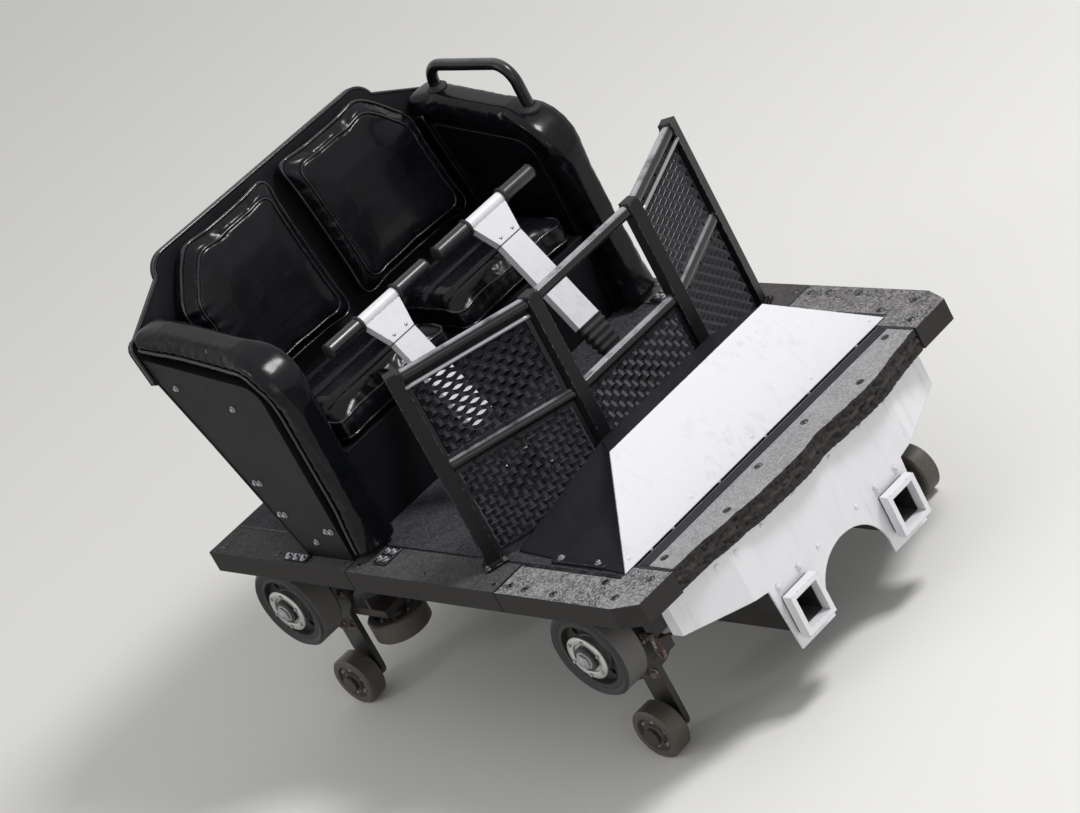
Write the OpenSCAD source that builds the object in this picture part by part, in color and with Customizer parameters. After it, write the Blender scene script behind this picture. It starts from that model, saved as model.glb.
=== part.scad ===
// Lead car of a wooden roller coaster train: one row of two seats, two axles.
// +X forward, +Y left, +Z up. Z = 0 is the floor under the up-stop wheels,
// X = 0 is halfway between the rear coupling and the nose tubes. Millimetres.

/* [Overall] */
// Distance between the front and rear road axles
wheelbase = 1180; // [1120:10:1260]
// Nose tube ends to the front road axle
nose_reach = 349; // [340:1:380]
// Rear axle to the end of the rear coupling
tail_reach = 271; // [255:1:300]
// Height of the floor plate's top above the ground
deck_z = 552; // [545:1:600]
// Width over the floor and its edge pads
deck_w = 1230; // [1210:2:1300]

/* [Wheels] */
// Diameter of a road wheel over its tyre
road_d = 240; // [220:2:250]
// Width of a road wheel
road_w = 80; // [60:1:90]
// Distance between the middles of the left and right road wheels
gauge = 1090; // [1080:2:1110]
// Diameter of a guide wheel
guide_d = 160; // [130:2:170]
// Height of a guide wheel
guide_h = 60; // [40:1:66]
// Diameter of an up-stop wheel
upstop_d = 140; // [110:2:140]
// Width of an up-stop wheel
upstop_w = 55; // [40:1:60]
// Gap between up-stop wheel and road wheel, which the rail fills
rail_gap = 95; // [90:1:110]
// Diameter of a road wheel's stub axle
stub_d = 50; // [40:1:56]
// Diameter of the pins of guide and up-stop wheels
pin_d = 30; // [24:1:36]
// Running clearance of a bore on its pin, on the radius
run_gap = 0.06; // [0.03:0.01:0.10]

/* [Chassis] */
// Width of a main rail's square tube
rail_w = 90; // [80:1:100]
// Height of a main rail's square tube
rail_h = 104; // [90:1:110]
// Wall of the square tubes
tube_t = 8; // [5:1:12]
// Distance between the middles of the two main rails
rail_pitch = 378; // [360:2:400]
// Height of the middle of the main rails
rail_z = 238; // [232:1:246]
// Thickness of the floor plate
deck_t = 8; // [5:1:12]
// Thickness of the edge pads and of the front step
step_t = 60; // [50:1:68]
// Width of a side edge pad
pad_w = 110; // [90:1:120]

/* [Seat] */
// Width between the two side bolsters
seat_w = 910; // [880:2:930]
// Height of the seat cushions' top
seat_z = 890; // [870:1:900]
// Thickness of a seat cushion
cushion_t = 90; // [70:1:100]
// Height of the backrest's top
back_z = 1329; // [1290:1:1360]
// Width of the backrest at its top
back_top_w = 806; // [780:2:840]
// Recline of the backrest, in degrees
recline = 10; // [6:1:14]
// Thickness of a back cushion
back_t = 75; // [55:1:85]
// Width of a side bolster
bolster_w = 128; // [110:1:136]
// Thickness of a side bolster's padding
bolster_t = 74; // [60:1:84]

// Distance of the grab rail from the bolster's inner face
rail_inset = 69; // [55:1:80]
// Diameter of the grab rail
rail_d = 32; // [25:1:36]

/* [Guard] */
// Height of the guard's top tubes
guard_z = 1109; // [1080:1:1130]
// Distance between the inner posts
guard_in_w = 376; // [350:2:400]
// Distance between the outer posts
guard_out_w = 1032; // [1000:2:1060]
// How far the outer posts stand behind the inner ones
guard_sweep = 171; // [150:1:190]
// Side of the guard's square posts
post_s = 36; // [28:1:42]
// Diameter of the guard's cross tubes
guard_tube_d = 32; // [24:1:36]
// Width of a mesh opening, from knuckle to knuckle
mesh_w = 38; // [30:1:50]
// Height of a mesh opening, from knuckle to knuckle
mesh_h = 34; // [26:1:44]
// Width of a strand of the mesh
strand_w = 5; // [3:0.5:8]

/* [Lap bars] */
// Height of a lap bar's pivot
pivot_z = 612; // [606:1:630]
// Distance from pivot to the middle of the T-handle
bar_len = 502; // [480:1:520]
// Backward lean of a lap bar as it rests, in degrees
bar_lean = 28.7; // [26:0.1:32]
// Length of a T-handle
handle_w = 352; // [320:2:370]
// Distance of a lap bar from the car's middle
bar_y = 203; // [198:1:210]
// Diameter of a lap bar's pivot pin
pivot_d = 24; // [20:1:30]

/* [Hidden] */
$fn = 48;

half_len = (wheelbase + nose_reach + tail_reach) / 2;
front_x = half_len - nose_reach;
rear_x = tail_reach - half_len;
upstop_r = upstop_d / 2;
road_r = road_d / 2;
road_z = upstop_d + rail_gap + road_r;
fit_gap = 0.3;

// Steel rail that the wheels run on: it isn't built, but places them
track_in_y = gauge / 2 - 75;
upstop_y = track_in_y + 5 + upstop_w / 2;
guide_y = track_in_y - 5 - guide_d / 2;
guide_z = upstop_d + 5 + (rail_gap - 10) / 2;
guide_lead = 130;

plate_t = 16;
plate_y = track_in_y - 14 - plate_t;
beam_h = 110;
beam_w = 100;
rail_top = rail_z + rail_h / 2;
deck_under = deck_z - deck_t;
bearer_h = 56;
bearer_w = 60;
bearer_z = deck_under - bearer_h;
bearer_x = [rear_x - 118, rear_x + 140, rear_x + 590, front_x - 230, front_x + 140];

deck_y = deck_w / 2;
deck_in_y = deck_y - pad_w;
deck_tail = rear_x - 154;
seam_x = front_x + 177;
step_x = seam_x + 10;
nose_x = front_x + 332;
step_end_y = 463;
step_flat_y = 265;
corner_x = front_x + 235;
corner_y = deck_y - 28;
joint_w = 4;

plate_rear = [seam_x - 133, 291, deck_z + 185];
plate_front = [seam_x, 498, deck_z];
plate_slope = atan2(plate_rear[2] - plate_front[2], plate_front[0] - plate_rear[0]);
plate_len = norm([plate_rear[2] - plate_front[2], plate_front[0] - plate_rear[0]]);
sheet_t = 5;

guard_x = front_x - 103;
guard_in_y = guard_in_w / 2;
guard_out_y = guard_out_w / 2;
guard_mid_z = deck_z + 280;
wing_len = norm([guard_sweep, guard_out_y - guard_in_y]);
wing_turn = atan2(guard_sweep, guard_out_y - guard_in_y);

bolster_in = seat_w / 2;
bolster_out = bolster_in + bolster_w;
back_foot = [rear_x + 106, seat_z];
back_len = (back_z - seat_z) / cos(recline);
shell_t = 20;
pivot_x = front_x - 461;

// Box from its lowest to its highest corner
module block(lo, hi) {
    translate(lo) cube(hi - lo);
}

// The same thing on the left and mirrored to the right
module both_sides() {
    children();
    mirror([0, 1, 0]) children();
}

// Round bar along Y
module bar_y_axis(r, y0, y1) {
    translate([0, y1, 0]) rotate([90, 0, 0]) cylinder(r = r, h = y1 - y0);
}

// Extrudes an outline drawn in X and Z along Y
module side_profile(y0, y1) {
    translate([0, y1, 0]) rotate([90, 0, 0]) linear_extrude(y1 - y0) children();
}

function arc(centre, r, a0, a1, n = 8) =
    [for (i = [0 : n]) let (a = a0 + (a1 - a0) * i / n) centre + r * [cos(a), sin(a)]];

module frame_rails() {
    color("dimgray") both_sides() translate([0, rail_pitch / 2, rail_z]) difference() {
        block([bearer_x[0] - 30, -rail_w / 2, -rail_h / 2], [half_len - 28, rail_w / 2, rail_h / 2]);
        block([bearer_x[0] - 31, tube_t - rail_w / 2, tube_t - rail_h / 2],
              [half_len, rail_w / 2 - tube_t, rail_h / 2 - tube_t]);
    }
}

// Channels across the frame, open towards the front
cross_h = 70;
module cross_members() {
    inner = rail_pitch / 2 - rail_w / 2;
    color("dimgray") for (x = [bearer_x[0], bearer_x[1], -20, bearer_x[3]]) difference() {
        block([x - 30, -inner, rail_z - cross_h / 2], [x + 30, inner, rail_z + cross_h / 2]);
        block([x - 30 + tube_t, -inner - 1, rail_z - cross_h / 2 + tube_t],
              [x + 31, inner + 1, rail_z + cross_h / 2 - tube_t]);
    }
}

// Short square tubes that stand on the main rails
riser_w = 56;
module deck_risers() {
    wall = 6;
    color("dimgray") for (x = bearer_x) both_sides() translate([x, rail_pitch / 2, rail_top])
        linear_extrude(bearer_z - rail_top) difference() {
            square(riser_w, center = true);
            square(riser_w - 2 * wall, center = true);
        }
}

// Channels under the floor plate, open below
module deck_bearers() {
    wall = 6;
    color("dimgray") for (x = bearer_x) difference() {
        block([x - bearer_w / 2, -deck_in_y, bearer_z], [x + bearer_w / 2, deck_in_y, deck_under]);
        block([x - bearer_w / 2 + wall, -deck_in_y - 1, bearer_z - 1],
              [x + bearer_w / 2 - wall, deck_in_y + 1, deck_under - wall]);
    }
}

module axle_beam(x) {
    wall = 10;
    difference() {
        block([x - beam_w / 2, -plate_y, rail_top], [x + beam_w / 2, plate_y, rail_top + beam_h]);
        block([x - beam_w / 2 + wall, -plate_y - 1, rail_top + wall],
              [x + beam_w / 2 - wall, plate_y + 1, rail_top + beam_h - wall]);
    }
}

module axle_front() {
    color("dimgray") axle_beam(front_x);
}

module axle_rear() {
    color("dimgray") axle_beam(rear_x);
}

// Shaft along Y from y0 through a wheel of width w at y1, with its collar and its retaining cap
module wheel_pin(d, y0, y1, w) {
    end_gap = 2;
    cap_t = 9;
    inner = y1 - w / 2;
    outer = y1 + w / 2;
    bar_y_axis(d / 2, y0, outer + end_gap + cap_t);
    bar_y_axis(d / 2 + 10, y0, inner - end_gap);
    bar_y_axis(d / 2 + 8, outer + end_gap, outer + end_gap + cap_t);
}

// Wheel carrier of one corner; dir is +1 where the guide wheel is ahead of the axle
module carrier(x, dir) {
    top_z = rail_top + beam_h;
    neck = 38;
    face = plate_y + plate_t;
    arm_z = guide_z + guide_h / 2 + 14;
    arm_t = 24;
    arm_r = 45;
    rib_t = 12;
    rib_rise = rail_top - arm_z - arm_t;
    translate([x, 0, 0]) {
        side_profile(plate_y, face) polygon(concat(
            arc([0, upstop_r], neck, 180, 360), [[neck, road_z - 110], [70, road_z - 75], [70, top_z]],
            [[-70, top_z], [-70, road_z - 75], [-neck, road_z - 110]]));
        translate([0, 0, road_z]) wheel_pin(stub_d, face, gauge / 2, road_w);
        translate([0, 0, upstop_r]) wheel_pin(pin_d, face, upstop_y, upstop_w);
        mirror([dir > 0 ? 0 : 1, 0, 0]) {
            translate([0, 0, arm_z]) linear_extrude(arm_t)
                polygon(concat([[guide_lead + arm_r, plate_y], [-neck, plate_y], [-neck, plate_y - 60]],
                               arc([guide_lead, guide_y], arm_r, 270, 360)));
            for (rib_x = [-neck, guide_lead - 20]) translate([rib_x, 0, 0]) rotate([90, 0, 90])
                linear_extrude(rib_t) polygon([[plate_y, arm_z + arm_t], [plate_y, arm_z + arm_t + rib_rise],
                                               [plate_y - 80, arm_z + arm_t]]);
            translate([guide_lead, guide_y, guide_z - guide_h / 2 - 12]) {
                cylinder(d = pin_d, h = guide_h + 12 + 14);
                cylinder(d = pin_d + 16, h = 10);
            }
        }
    }
}

module carriers_front() {
    color("dimgray") both_sides() carrier(front_x, -1);
}

module carriers_rear() {
    color("dimgray") both_sides() carrier(rear_x, 1);
}

// Wheel drawn around Z from an outline of radius and height, turned to lie along Y
module wheel_y(x, y, z) {
    translate([x, y, z]) rotate([90, 0, 0]) rotate_extrude() children();
}

hub_r = road_r - 22;
module road_tyre(x, y) {
    color("black") wheel_y(x, y, road_z)
        polygon([[hub_r + fit_gap, -road_w / 2 + 6], [road_r - 8, -road_w / 2], [road_r, 8 - road_w / 2],
                 [road_r, road_w / 2 - 8], [road_r - 8, road_w / 2], [hub_r + fit_gap, road_w / 2 - 6]]);
}

module road_hub(x, y) {
    bore = stub_d / 2 + run_gap;
    boss = stub_d / 2 + 21;
    web_t = 32;
    rim = road_w / 2 - 6;
    holes = 6;
    hole_r = 9;
    web = (boss + hub_r - 14) / 2;
    color("silver") difference() {
        wheel_y(x, y, road_z)
            polygon([[bore, -road_w / 2], [boss, -road_w / 2], [boss + 3, -web_t / 2],
                     [hub_r - 16, -web_t / 2], [hub_r - 12, -rim], [hub_r, -rim],
                     [hub_r, rim], [hub_r - 12, rim], [hub_r - 16, web_t / 2],
                     [boss + 3, web_t / 2], [boss, road_w / 2], [bore, road_w / 2]]);
        translate([x, y, road_z]) for (i = [0 : holes - 1]) rotate([0, i * 360 / holes, 0])
            translate([web, 0, 0]) bar_y_axis(hole_r, -web_t, web_t);
    }
}

module tyre_fl() { road_tyre(front_x, gauge / 2); }
module tyre_fr() { road_tyre(front_x, -gauge / 2); }
module tyre_rl() { road_tyre(rear_x, gauge / 2); }
module tyre_rr() { road_tyre(rear_x, -gauge / 2); }
module hub_fl() { road_hub(front_x, gauge / 2); }
module hub_fr() { road_hub(front_x, -gauge / 2); }
module hub_rl() { road_hub(rear_x, gauge / 2); }
module hub_rr() { road_hub(rear_x, -gauge / 2); }

// Outline of a small wheel with one recess on each face
module small_wheel_outline(r, w) {
    bore = pin_d / 2 + run_gap;
    polygon([[bore, -w / 2], [bore + 12, -w / 2], [bore + 15, -w / 2 + 10], [r - 24, -w / 2 + 10],
             [r - 20, -w / 2], [r - 5, -w / 2], [r, -w / 2 + 5], [r, w / 2 - 5], [r - 5, w / 2],
             [r - 20, w / 2], [r - 24, w / 2 - 10], [bore + 15, w / 2 - 10], [bore + 12, w / 2], [bore, w / 2]]);
}

module guide_wheel(x, side) {
    color("gray") translate([x, side * guide_y, guide_z]) rotate_extrude()
        small_wheel_outline(guide_d / 2, guide_h);
}

module upstop_wheel(x, side) {
    color("gray") wheel_y(x, side * upstop_y, upstop_r) small_wheel_outline(upstop_r, upstop_w);
}

module guide_wheel_fl() { guide_wheel(front_x - guide_lead, 1); }
module guide_wheel_fr() { guide_wheel(front_x - guide_lead, -1); }
module guide_wheel_rl() { guide_wheel(rear_x + guide_lead, 1); }
module guide_wheel_rr() { guide_wheel(rear_x + guide_lead, -1); }
module upstop_wheel_fl() { upstop_wheel(front_x, 1); }
module upstop_wheel_fr() { upstop_wheel(front_x, -1); }
module upstop_wheel_rl() { upstop_wheel(rear_x, 1); }
module upstop_wheel_rr() { upstop_wheel(rear_x, -1); }

module deck() {
    color("gray") block([deck_tail, -deck_in_y, deck_under], [seam_x, deck_in_y, deck_z]);
}

// Edge pads of one side: rear, middle and front length, each a solid
module edge_pads() {
    cuts = [deck_tail, deck_tail + 575, front_x - 182];
    color("darkgray") both_sides() {
        for (i = [0 : 1])
            block([cuts[i], deck_in_y, deck_z - step_t], [cuts[i + 1] - joint_w, deck_y, deck_z]);
        translate([0, 0, deck_z - step_t]) linear_extrude(step_t)
            polygon([[cuts[2], deck_in_y], [seam_x, deck_in_y], [seam_x, step_end_y + joint_w],
                     [nose_x - 20, step_end_y + joint_w], [nose_x - 23, corner_y],
                     [corner_x, deck_y], [cuts[2], deck_y]]);
    }
}

module front_step() {
    color("darkgray") translate([0, 0, deck_z - step_t]) linear_extrude(step_t)
        polygon([[step_x, -step_end_y], [nose_x - 20, -step_end_y], [nose_x, -step_flat_y],
                 [nose_x, step_flat_y], [nose_x - 20, step_end_y], [step_x, step_end_y]]);
}

module nose_plate() {
    color("white") translate([plate_front[0], 0, plate_front[2] + fit_gap]) rotate([0, plate_slope - 180, 0])
        mirror([0, 0, 1]) linear_extrude(sheet_t)
            polygon([[0, -plate_front[1]], [plate_len, -plate_rear[1]],
                     [plate_len, plate_rear[1]], [0, plate_front[1]]]);
}

// Flat sheet with its corners given in order, thickened straight down
module sheet(corners, t) {
    n = len(corners);
    polyhedron(
        points = concat(corners, [for (c = corners) c - [0, 0, t]]),
        faces = concat(
            [[for (i = [n - 1 : -1 : 0]) i], [for (i = [0 : n - 1]) n + i]],
            [for (i = [0 : n - 1]) [i, (i + 1) % n, n + (i + 1) % n, n + i]]));
}

// Dark hood between the white plate, the guard and the floor
module nose_sides() {
    low = deck_z + sheet_t + fit_gap;
    foot = [guard_x - 130, guard_out_y - 50, low];
    knee = [guard_x + post_s / 2 + fit_gap, guard_in_y + post_s / 2 + fit_gap, deck_z + 150];
    front = [plate_front[0] - sheet_t / tan(plate_slope) - fit_gap, plate_front[1] - 2, low];
    top = [plate_rear[0] - fit_gap, plate_rear[1], plate_rear[2] - fit_gap];
    color("dimgray") {
        both_sides() {
            sheet([front, knee, foot], sheet_t);
            sheet([front, top, knee], sheet_t);
        }
        sheet([top, [top[0], -top[1], top[2]], [knee[0], -knee[1], knee[2]], knee], sheet_t);
    }
}

// White fascia: a sheet folded in plan, with its outline cut as seen from the front
fascia_t = 6;
fascia_x = nose_x - 28;
fascia_top = deck_z - step_t;
fold_y = 305;
wing_w = 190;
wing_back = 18;
return_w = 36;
lobe_low = 145;
lobe_margin = 24;
wing_low = 335;
wing_rise = 35;
arch_top = 290;

module fascia() {
    tube_out = rail_pitch / 2 + rail_w / 2;
    arch_half = rail_pitch / 2 - rail_w / 2 - lobe_margin;
    fold = [fascia_x + fascia_t, fold_y];
    tip = fold + wing_w * [-sin(wing_back), cos(wing_back)];
    back = tip - [return_w, 0];
    plan = [[fold[0], 0], fold, tip, back, back - [0, fascia_t], tip - [fascia_t, fascia_t],
            fold - [fascia_t, fascia_t / 2], [fascia_x, 0]];
    outline = [[0, lobe_low], [tube_out + lobe_margin / 2, lobe_low], [tube_out + lobe_margin, wing_low - 10],
               [fold_y, wing_low], [tip[1] + 1, wing_low + wing_rise], [tip[1] + 1, fascia_top], [0, fascia_top]];
    color("white") difference() {
        intersection() {
            linear_extrude(fascia_top) polygon(concat(plan, [for (i = [6 : -1 : 1]) [plan[i][0], -plan[i][1]]]));
            translate([fascia_x - 200, 0, 0]) rotate([90, 0, 90]) linear_extrude(300)
                polygon(concat(outline, [for (i = [5 : -1 : 1]) [-outline[i][0], outline[i][1]]]));
        }
        translate([fascia_x - 1, 0, 0]) rotate([90, 0, 90]) linear_extrude(fascia_t + 2) {
            translate([0, arch_top - arch_half]) circle(r = arch_half);
            translate([-arch_half, 0]) square([2 * arch_half, arch_top - arch_half]);
            for (s = [-1, 1]) translate([s * rail_pitch / 2, rail_z])
                square([rail_w + 2 * fit_gap, rail_h + 2 * fit_gap], center = true);
        }
    }
}

module tube_ends() {
    color("white") both_sides() translate([half_len - 28, rail_pitch / 2, rail_z]) rotate([90, 0, 90])
        linear_extrude(28) difference() {
            square([rail_w + 12, rail_h + 12], center = true);
            square([rail_w - 2 * tube_t, rail_h - 2 * tube_t], center = true);
        }
}

// Square post on its foot plate
module guard_post() {
    foot = post_s / 2 + 12;
    foot_t = 8;
    block([-post_s / 2, -post_s / 2, deck_z], [post_s / 2, post_s / 2, guard_z]);
    block([-foot, -foot, deck_z], [foot, foot, deck_z + foot_t]);
}

module guard_posts() {
    color("black") both_sides() {
        translate([guard_x, guard_in_y, 0]) guard_post();
        translate([guard_x - guard_sweep, guard_out_y, 0]) rotate(wing_turn) guard_post();
    }
}

// Places a child drawn along +Y from the inner post towards the outer one
module along_wing() {
    translate([guard_x, guard_in_y, 0]) rotate(wing_turn) children();
}

// Cross tubes between the posts; the wing's inner ends are coped to the inner posts
module guard_tubes() {
    r = guard_tube_d / 2;
    color("black") for (z = [guard_z - r, guard_mid_z]) {
        translate([guard_x, 0, z]) bar_y_axis(r, post_s / 2 - guard_in_y, guard_in_y - post_s / 2);
        both_sides() difference() {
            along_wing() translate([0, 0, z]) bar_y_axis(r, 5, wing_len - post_s / 2);
            block([guard_x - post_s / 2, guard_in_y - post_s / 2, z - r - 1],
                  [guard_x + post_s / 2, guard_in_y + post_s / 2, z + r + 1]);
        }
    }
}

// Panel of diamond mesh with a flat border, from y0 to y1 and z0 to z1 in the YZ plane
module mesh_panel(y0, y1, z0, z1) {
    border = 10;
    t = 4;
    w = y1 - y0 - 2 * border;
    h = z1 - z0 - 2 * border;
    nx = round(w / mesh_w);
    nz = round(h / mesh_h);
    half = [w / nx / 2, h / nz / 2];
    hole = half * (1 - strand_w / 2 * norm(half) / (half[0] * half[1]));
    translate([-t / 2, y0 + border, z0 + border]) rotate([90, 0, 90]) linear_extrude(t) difference() {
        translate([-border, -border]) square([w + 2 * border, h + 2 * border]);
        intersection() {
            square([w, h]);
            for (i = [0 : 2 * nx], j = [0 : 2 * nz]) if ((i + j) % 2 == 1)
                translate([i * half[0], j * half[1]])
                    polygon([[hole[0], 0], [0, hole[1]], [-hole[0], 0], [0, -hole[1]]]);
        }
    }
}

module guard_mesh() {
    inset = post_s / 2 / cos(wing_turn) + 4 * tan(wing_turn);
    r = guard_tube_d / 2;
    low = deck_z + 20;
    color("black") {
        translate([guard_x, 0, 0])
            mesh_panel(post_s / 2 - guard_in_y, guard_in_y - post_s / 2, low, guard_mid_z - r);
        both_sides() along_wing() {
            mesh_panel(inset, wing_len - post_s / 2, low, guard_mid_z - r);
            mesh_panel(inset, wing_len - post_s / 2, guard_mid_z + r, guard_z - guard_tube_d);
        }
    }
}

// Seat box under the cushions, open below and hollow
seat_front = rear_x + 440;
seat_tail = rear_x + 20;
pan_z = seat_z - cushion_t;
module seat_base() {
    color("dimgray") difference() {
        side_profile(-bolster_in, bolster_in)
            polygon([[seat_tail, deck_z], [seat_front - 40, deck_z], [seat_front, pan_z], [seat_tail, pan_z]]);
        side_profile(-bolster_in + 10, bolster_in - 10)
            polygon([[seat_tail + 10, deck_z - 1], [seat_front - 52, deck_z - 1],
                     [seat_front - 12, pan_z - 10], [seat_tail + 10, pan_z - 10]]);
    }
}

// Places a child drawn in (across, up) on the reclined backrest, extruded forward
module on_back(t0, t1) {
    translate([back_foot[0], 0, back_foot[1]]) rotate([0, -recline, 0]) translate([-t1, 0, 0])
        rotate([90, 0, 90]) linear_extrude(t1 - t0) children();
}

// X of the backrest shell's front face at height z
function shell_face(z) = back_foot[0] - back_t / cos(recline) - (z - seat_z) * tan(recline);

wing_foot_z = 1000;
wing_edge_z = 1085;
wing_top_z = 1205;
module seat_shell() {
    w0 = bolster_in;
    w1 = back_top_w / 2 + 8;
    up = [for (z = [wing_foot_z, wing_edge_z, wing_top_z]) (z - seat_z) / cos(recline)];
    side = concat([[w0, -cushion_t - 30], [w0, up[0]], [bolster_out, up[1]]],
                  arc([bolster_out - 30, up[2] - 30], 30, 0, 90, 4),
                  arc([w1 - 60, back_len - 56], 60, 10, 90));
    n = len(side) - 1;
    color("dimgray") difference() {
        on_back(back_t, back_t + shell_t)
            polygon(concat(side, [for (i = [n : -1 : 0]) [-side[i][0], side[i][1]]]));
        block([seat_tail - 50, -bolster_out, deck_z], [back_foot[0] + 50, bolster_out, pan_z]);
    }
}

module back_cushion_outline() {
    w0 = bolster_in - 5;
    w1 = back_top_w / 2;
    polygon(concat([[10, 0], [w0, 0], [w0, back_len - 130]], arc([w1 - 60, back_len - 60], 60, 10, 90),
                   [[10, back_len]]));
}

module back_cushions() {
    color("black") both_sides() on_back(0, back_t) back_cushion_outline();
}

module seat_cushions() {
    color("black") both_sides()
        block([seat_tail + 95, 10, pan_z], [seat_front + 15, bolster_in - 5, seat_z - 2]);
}

// Side bolster: an arch that runs forward from the backrest and down to the floor
bolster_front = rear_x + 489;
bolster_drop = 9;
corner_r = 130;
top_turn = 90 - bolster_drop;
corner_c = [bolster_front - corner_r, 1028];
inner_r = corner_r - bolster_t;

// Height of the arch's surface at x, for its outer radius or its inner one
function arch_z(x, r) = let (knee_x = corner_c[0] + r * cos(top_turn)) x < knee_x
    ? corner_c[1] + r * sin(top_turn) + (knee_x - x) * tan(bolster_drop)
    : corner_c[1] + sqrt(r * r - pow(x - corner_c[0], 2));

// Where the arch's straight part meets the backrest shell
function arch_root(r) = let (
    base = corner_c[1] + r * sin(top_turn) + (corner_c[0] + r * cos(top_turn)) * tan(bolster_drop),
    x = (back_foot[0] - back_t / cos(recline) - (base - seat_z) * tan(recline))
        / (1 - tan(bolster_drop) * tan(recline)))
    [x + fit_gap, base - x * tan(bolster_drop)];

rail_y = bolster_in + rail_inset;
rail_r = rail_d / 2;
rail_bend = 60;
rail_rear = bolster_front - 419;
rail_front = bolster_front - 85;
rail_top_z = 1281;
// Bends are this much thinner than the straight tube they are welded to
weld_step = 0.2;

module side_bolsters() {
    color("black") difference() {
        both_sides() side_profile(bolster_in, bolster_out)
            polygon(concat([arch_root(corner_r)], arc(corner_c, corner_r, top_turn, 0),
                           [[bolster_front, deck_z], [bolster_front - bolster_t, deck_z]],
                           arc(corner_c, inner_r, 0, top_turn), [arch_root(inner_r)]));
        for (x = [rail_rear, rail_front])
            translate([x, rail_y, corner_c[1]]) cylinder(r = rail_r + fit_gap, h = 300);
    }
}

module side_panels() {
    root = arch_root(inner_r);
    color("darkslategray") both_sides() side_profile(bolster_in + 6, bolster_out - 8)
        polygon(concat([root, [shell_face(root[1] - 40) + fit_gap, root[1] - 40], [rear_x + 88, seat_z],
                        [rear_x + 235, deck_z], [bolster_front - bolster_t, deck_z]],
                       arc(corner_c, inner_r, 0, top_turn)));
}

module grab_rail() {
    run = rail_front - rail_rear - 2 * rail_bend;
    leg_top = rail_top_z - rail_bend;
    color("black") translate([0, rail_y, 0]) {
        translate([rail_rear + rail_bend, 0, rail_top_z]) rotate([0, 90, 0]) cylinder(r = rail_r, h = run);
        for (end = [[rail_rear, rail_bend, 90], [rail_front, -rail_bend, 0]]) {
            foot = arch_z(end[0] - rail_r, inner_r) + fit_gap;
            translate([end[0] + end[1], 0, leg_top]) rotate([90, 0, 0]) rotate(end[2])
                rotate_extrude(angle = 90) translate([rail_bend, 0]) circle(r = rail_r - weld_step);
            translate([end[0], 0, foot]) cylinder(r = rail_r, h = leg_top - foot);
        }
    }
}

// Floor bracket of one lap bar: two ears and their pin
module bar_mounts() {
    ear = 10;
    gap = 66;
    color("black") both_sides() translate([pivot_x, bar_y, 0]) {
        block([-60, -60, deck_z], [60, 60, deck_z + 10]);
        for (s = [-1, 1]) translate([0, s * (gap / 2 + ear / 2), 0]) side_profile(-ear / 2, ear / 2)
            polygon(concat([[-45, deck_z + 10], [45, deck_z + 10]], arc([0, pivot_z], 26, 0, 180)));
        translate([0, 0, pivot_z]) bar_y_axis(pivot_d / 2, -gap / 2 - ear - 4, gap / 2 + ear + 4);
    }
}

// Places a child drawn upwards from the pivot at the lap bar's resting lean
module at_bar(side) {
    translate([pivot_x, side * bar_y, pivot_z]) rotate([0, -bar_lean, 0]) children();
}

handle_r = 17;
module lap_bar(side) {
    color("white") at_bar(side) difference() {
        union() {
            bar_y_axis(22, -30, 30);
            block([-11, -28, 10], [11, 28, 130]);
            block([-13, -38, 120], [13, 38, bar_len - 60]);
            rotate([90, 0, 90]) translate([0, 0, -13]) linear_extrude(26)
                polygon([[-38, bar_len - 90], [38, bar_len - 90], [62, bar_len - 14], [-62, bar_len - 14]]);
            translate([0, 0, bar_len]) bar_y_axis(handle_r, -handle_w / 2, handle_w / 2);
        }
        bar_y_axis(pivot_d / 2 + run_gap, -31, 31);
    }
}

module lap_bar_left() { lap_bar(1); }
module lap_bar_right() { lap_bar(-1); }

module bar_grips(side) {
    color("black") at_bar(side) translate([0, 0, bar_len]) for (s = [-1, 1]) difference() {
        bar_y_axis(handle_r + 4, min(s * 66, s * handle_w / 2), max(s * 66, s * handle_w / 2));
        bar_y_axis(handle_r + fit_gap, -handle_w, handle_w);
    }
}

module bar_grips_left() { bar_grips(1); }
module bar_grips_right() { bar_grips(-1); }

// Coupling behind the rear cross member: a drawbar with an upright eye
module rear_coupling() {
    back = bearer_x[0] - 30;
    color("dimgray") difference() {
        union() {
            block([back - 12, -80, rail_z - 50], [back, 80, rail_z + 50]);
            block([-half_len + 40, -35, rail_z - 20], [back - 12, 35, rail_z + 20]);
            translate([-half_len + 40, 0, rail_z - 20]) cylinder(r = 40, h = 40);
        }
        translate([-half_len + 40, 0, rail_z - 21]) cylinder(r = 17.5, h = 42);
    }
}

// Flat fin under the frame, with its lower corners cut back
module brake_fin() {
    fin_t = 12;
    lo = rear_x + 170;
    hi = front_x - 120;
    top = rail_z - cross_h / 2;
    color("silver") side_profile(-fin_t / 2, fin_t / 2)
        polygon([[lo, top], [lo, top - 40], [lo + 90, 96], [hi - 90, 96], [hi, top - 40], [hi, top]]);
}

frame_rails();
cross_members();
deck_risers();
deck_bearers();
axle_front();
axle_rear();
carriers_front();
carriers_rear();
tyre_fl();
tyre_fr();
tyre_rl();
tyre_rr();
hub_fl();
hub_fr();
hub_rl();
hub_rr();
guide_wheel_fl();
guide_wheel_fr();
guide_wheel_rl();
guide_wheel_rr();
upstop_wheel_fl();
upstop_wheel_fr();
upstop_wheel_rl();
upstop_wheel_rr();
deck();
edge_pads();
front_step();
nose_plate();
nose_sides();
fascia();
tube_ends();
guard_posts();
guard_tubes();
guard_mesh();
seat_base();
seat_shell();
side_panels();
seat_cushions();
back_cushions();
side_bolsters();
grab_rail();
bar_mounts();
lap_bar_left();
lap_bar_right();
bar_grips_left();
bar_grips_right();
rear_coupling();
brake_fin();
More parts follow.
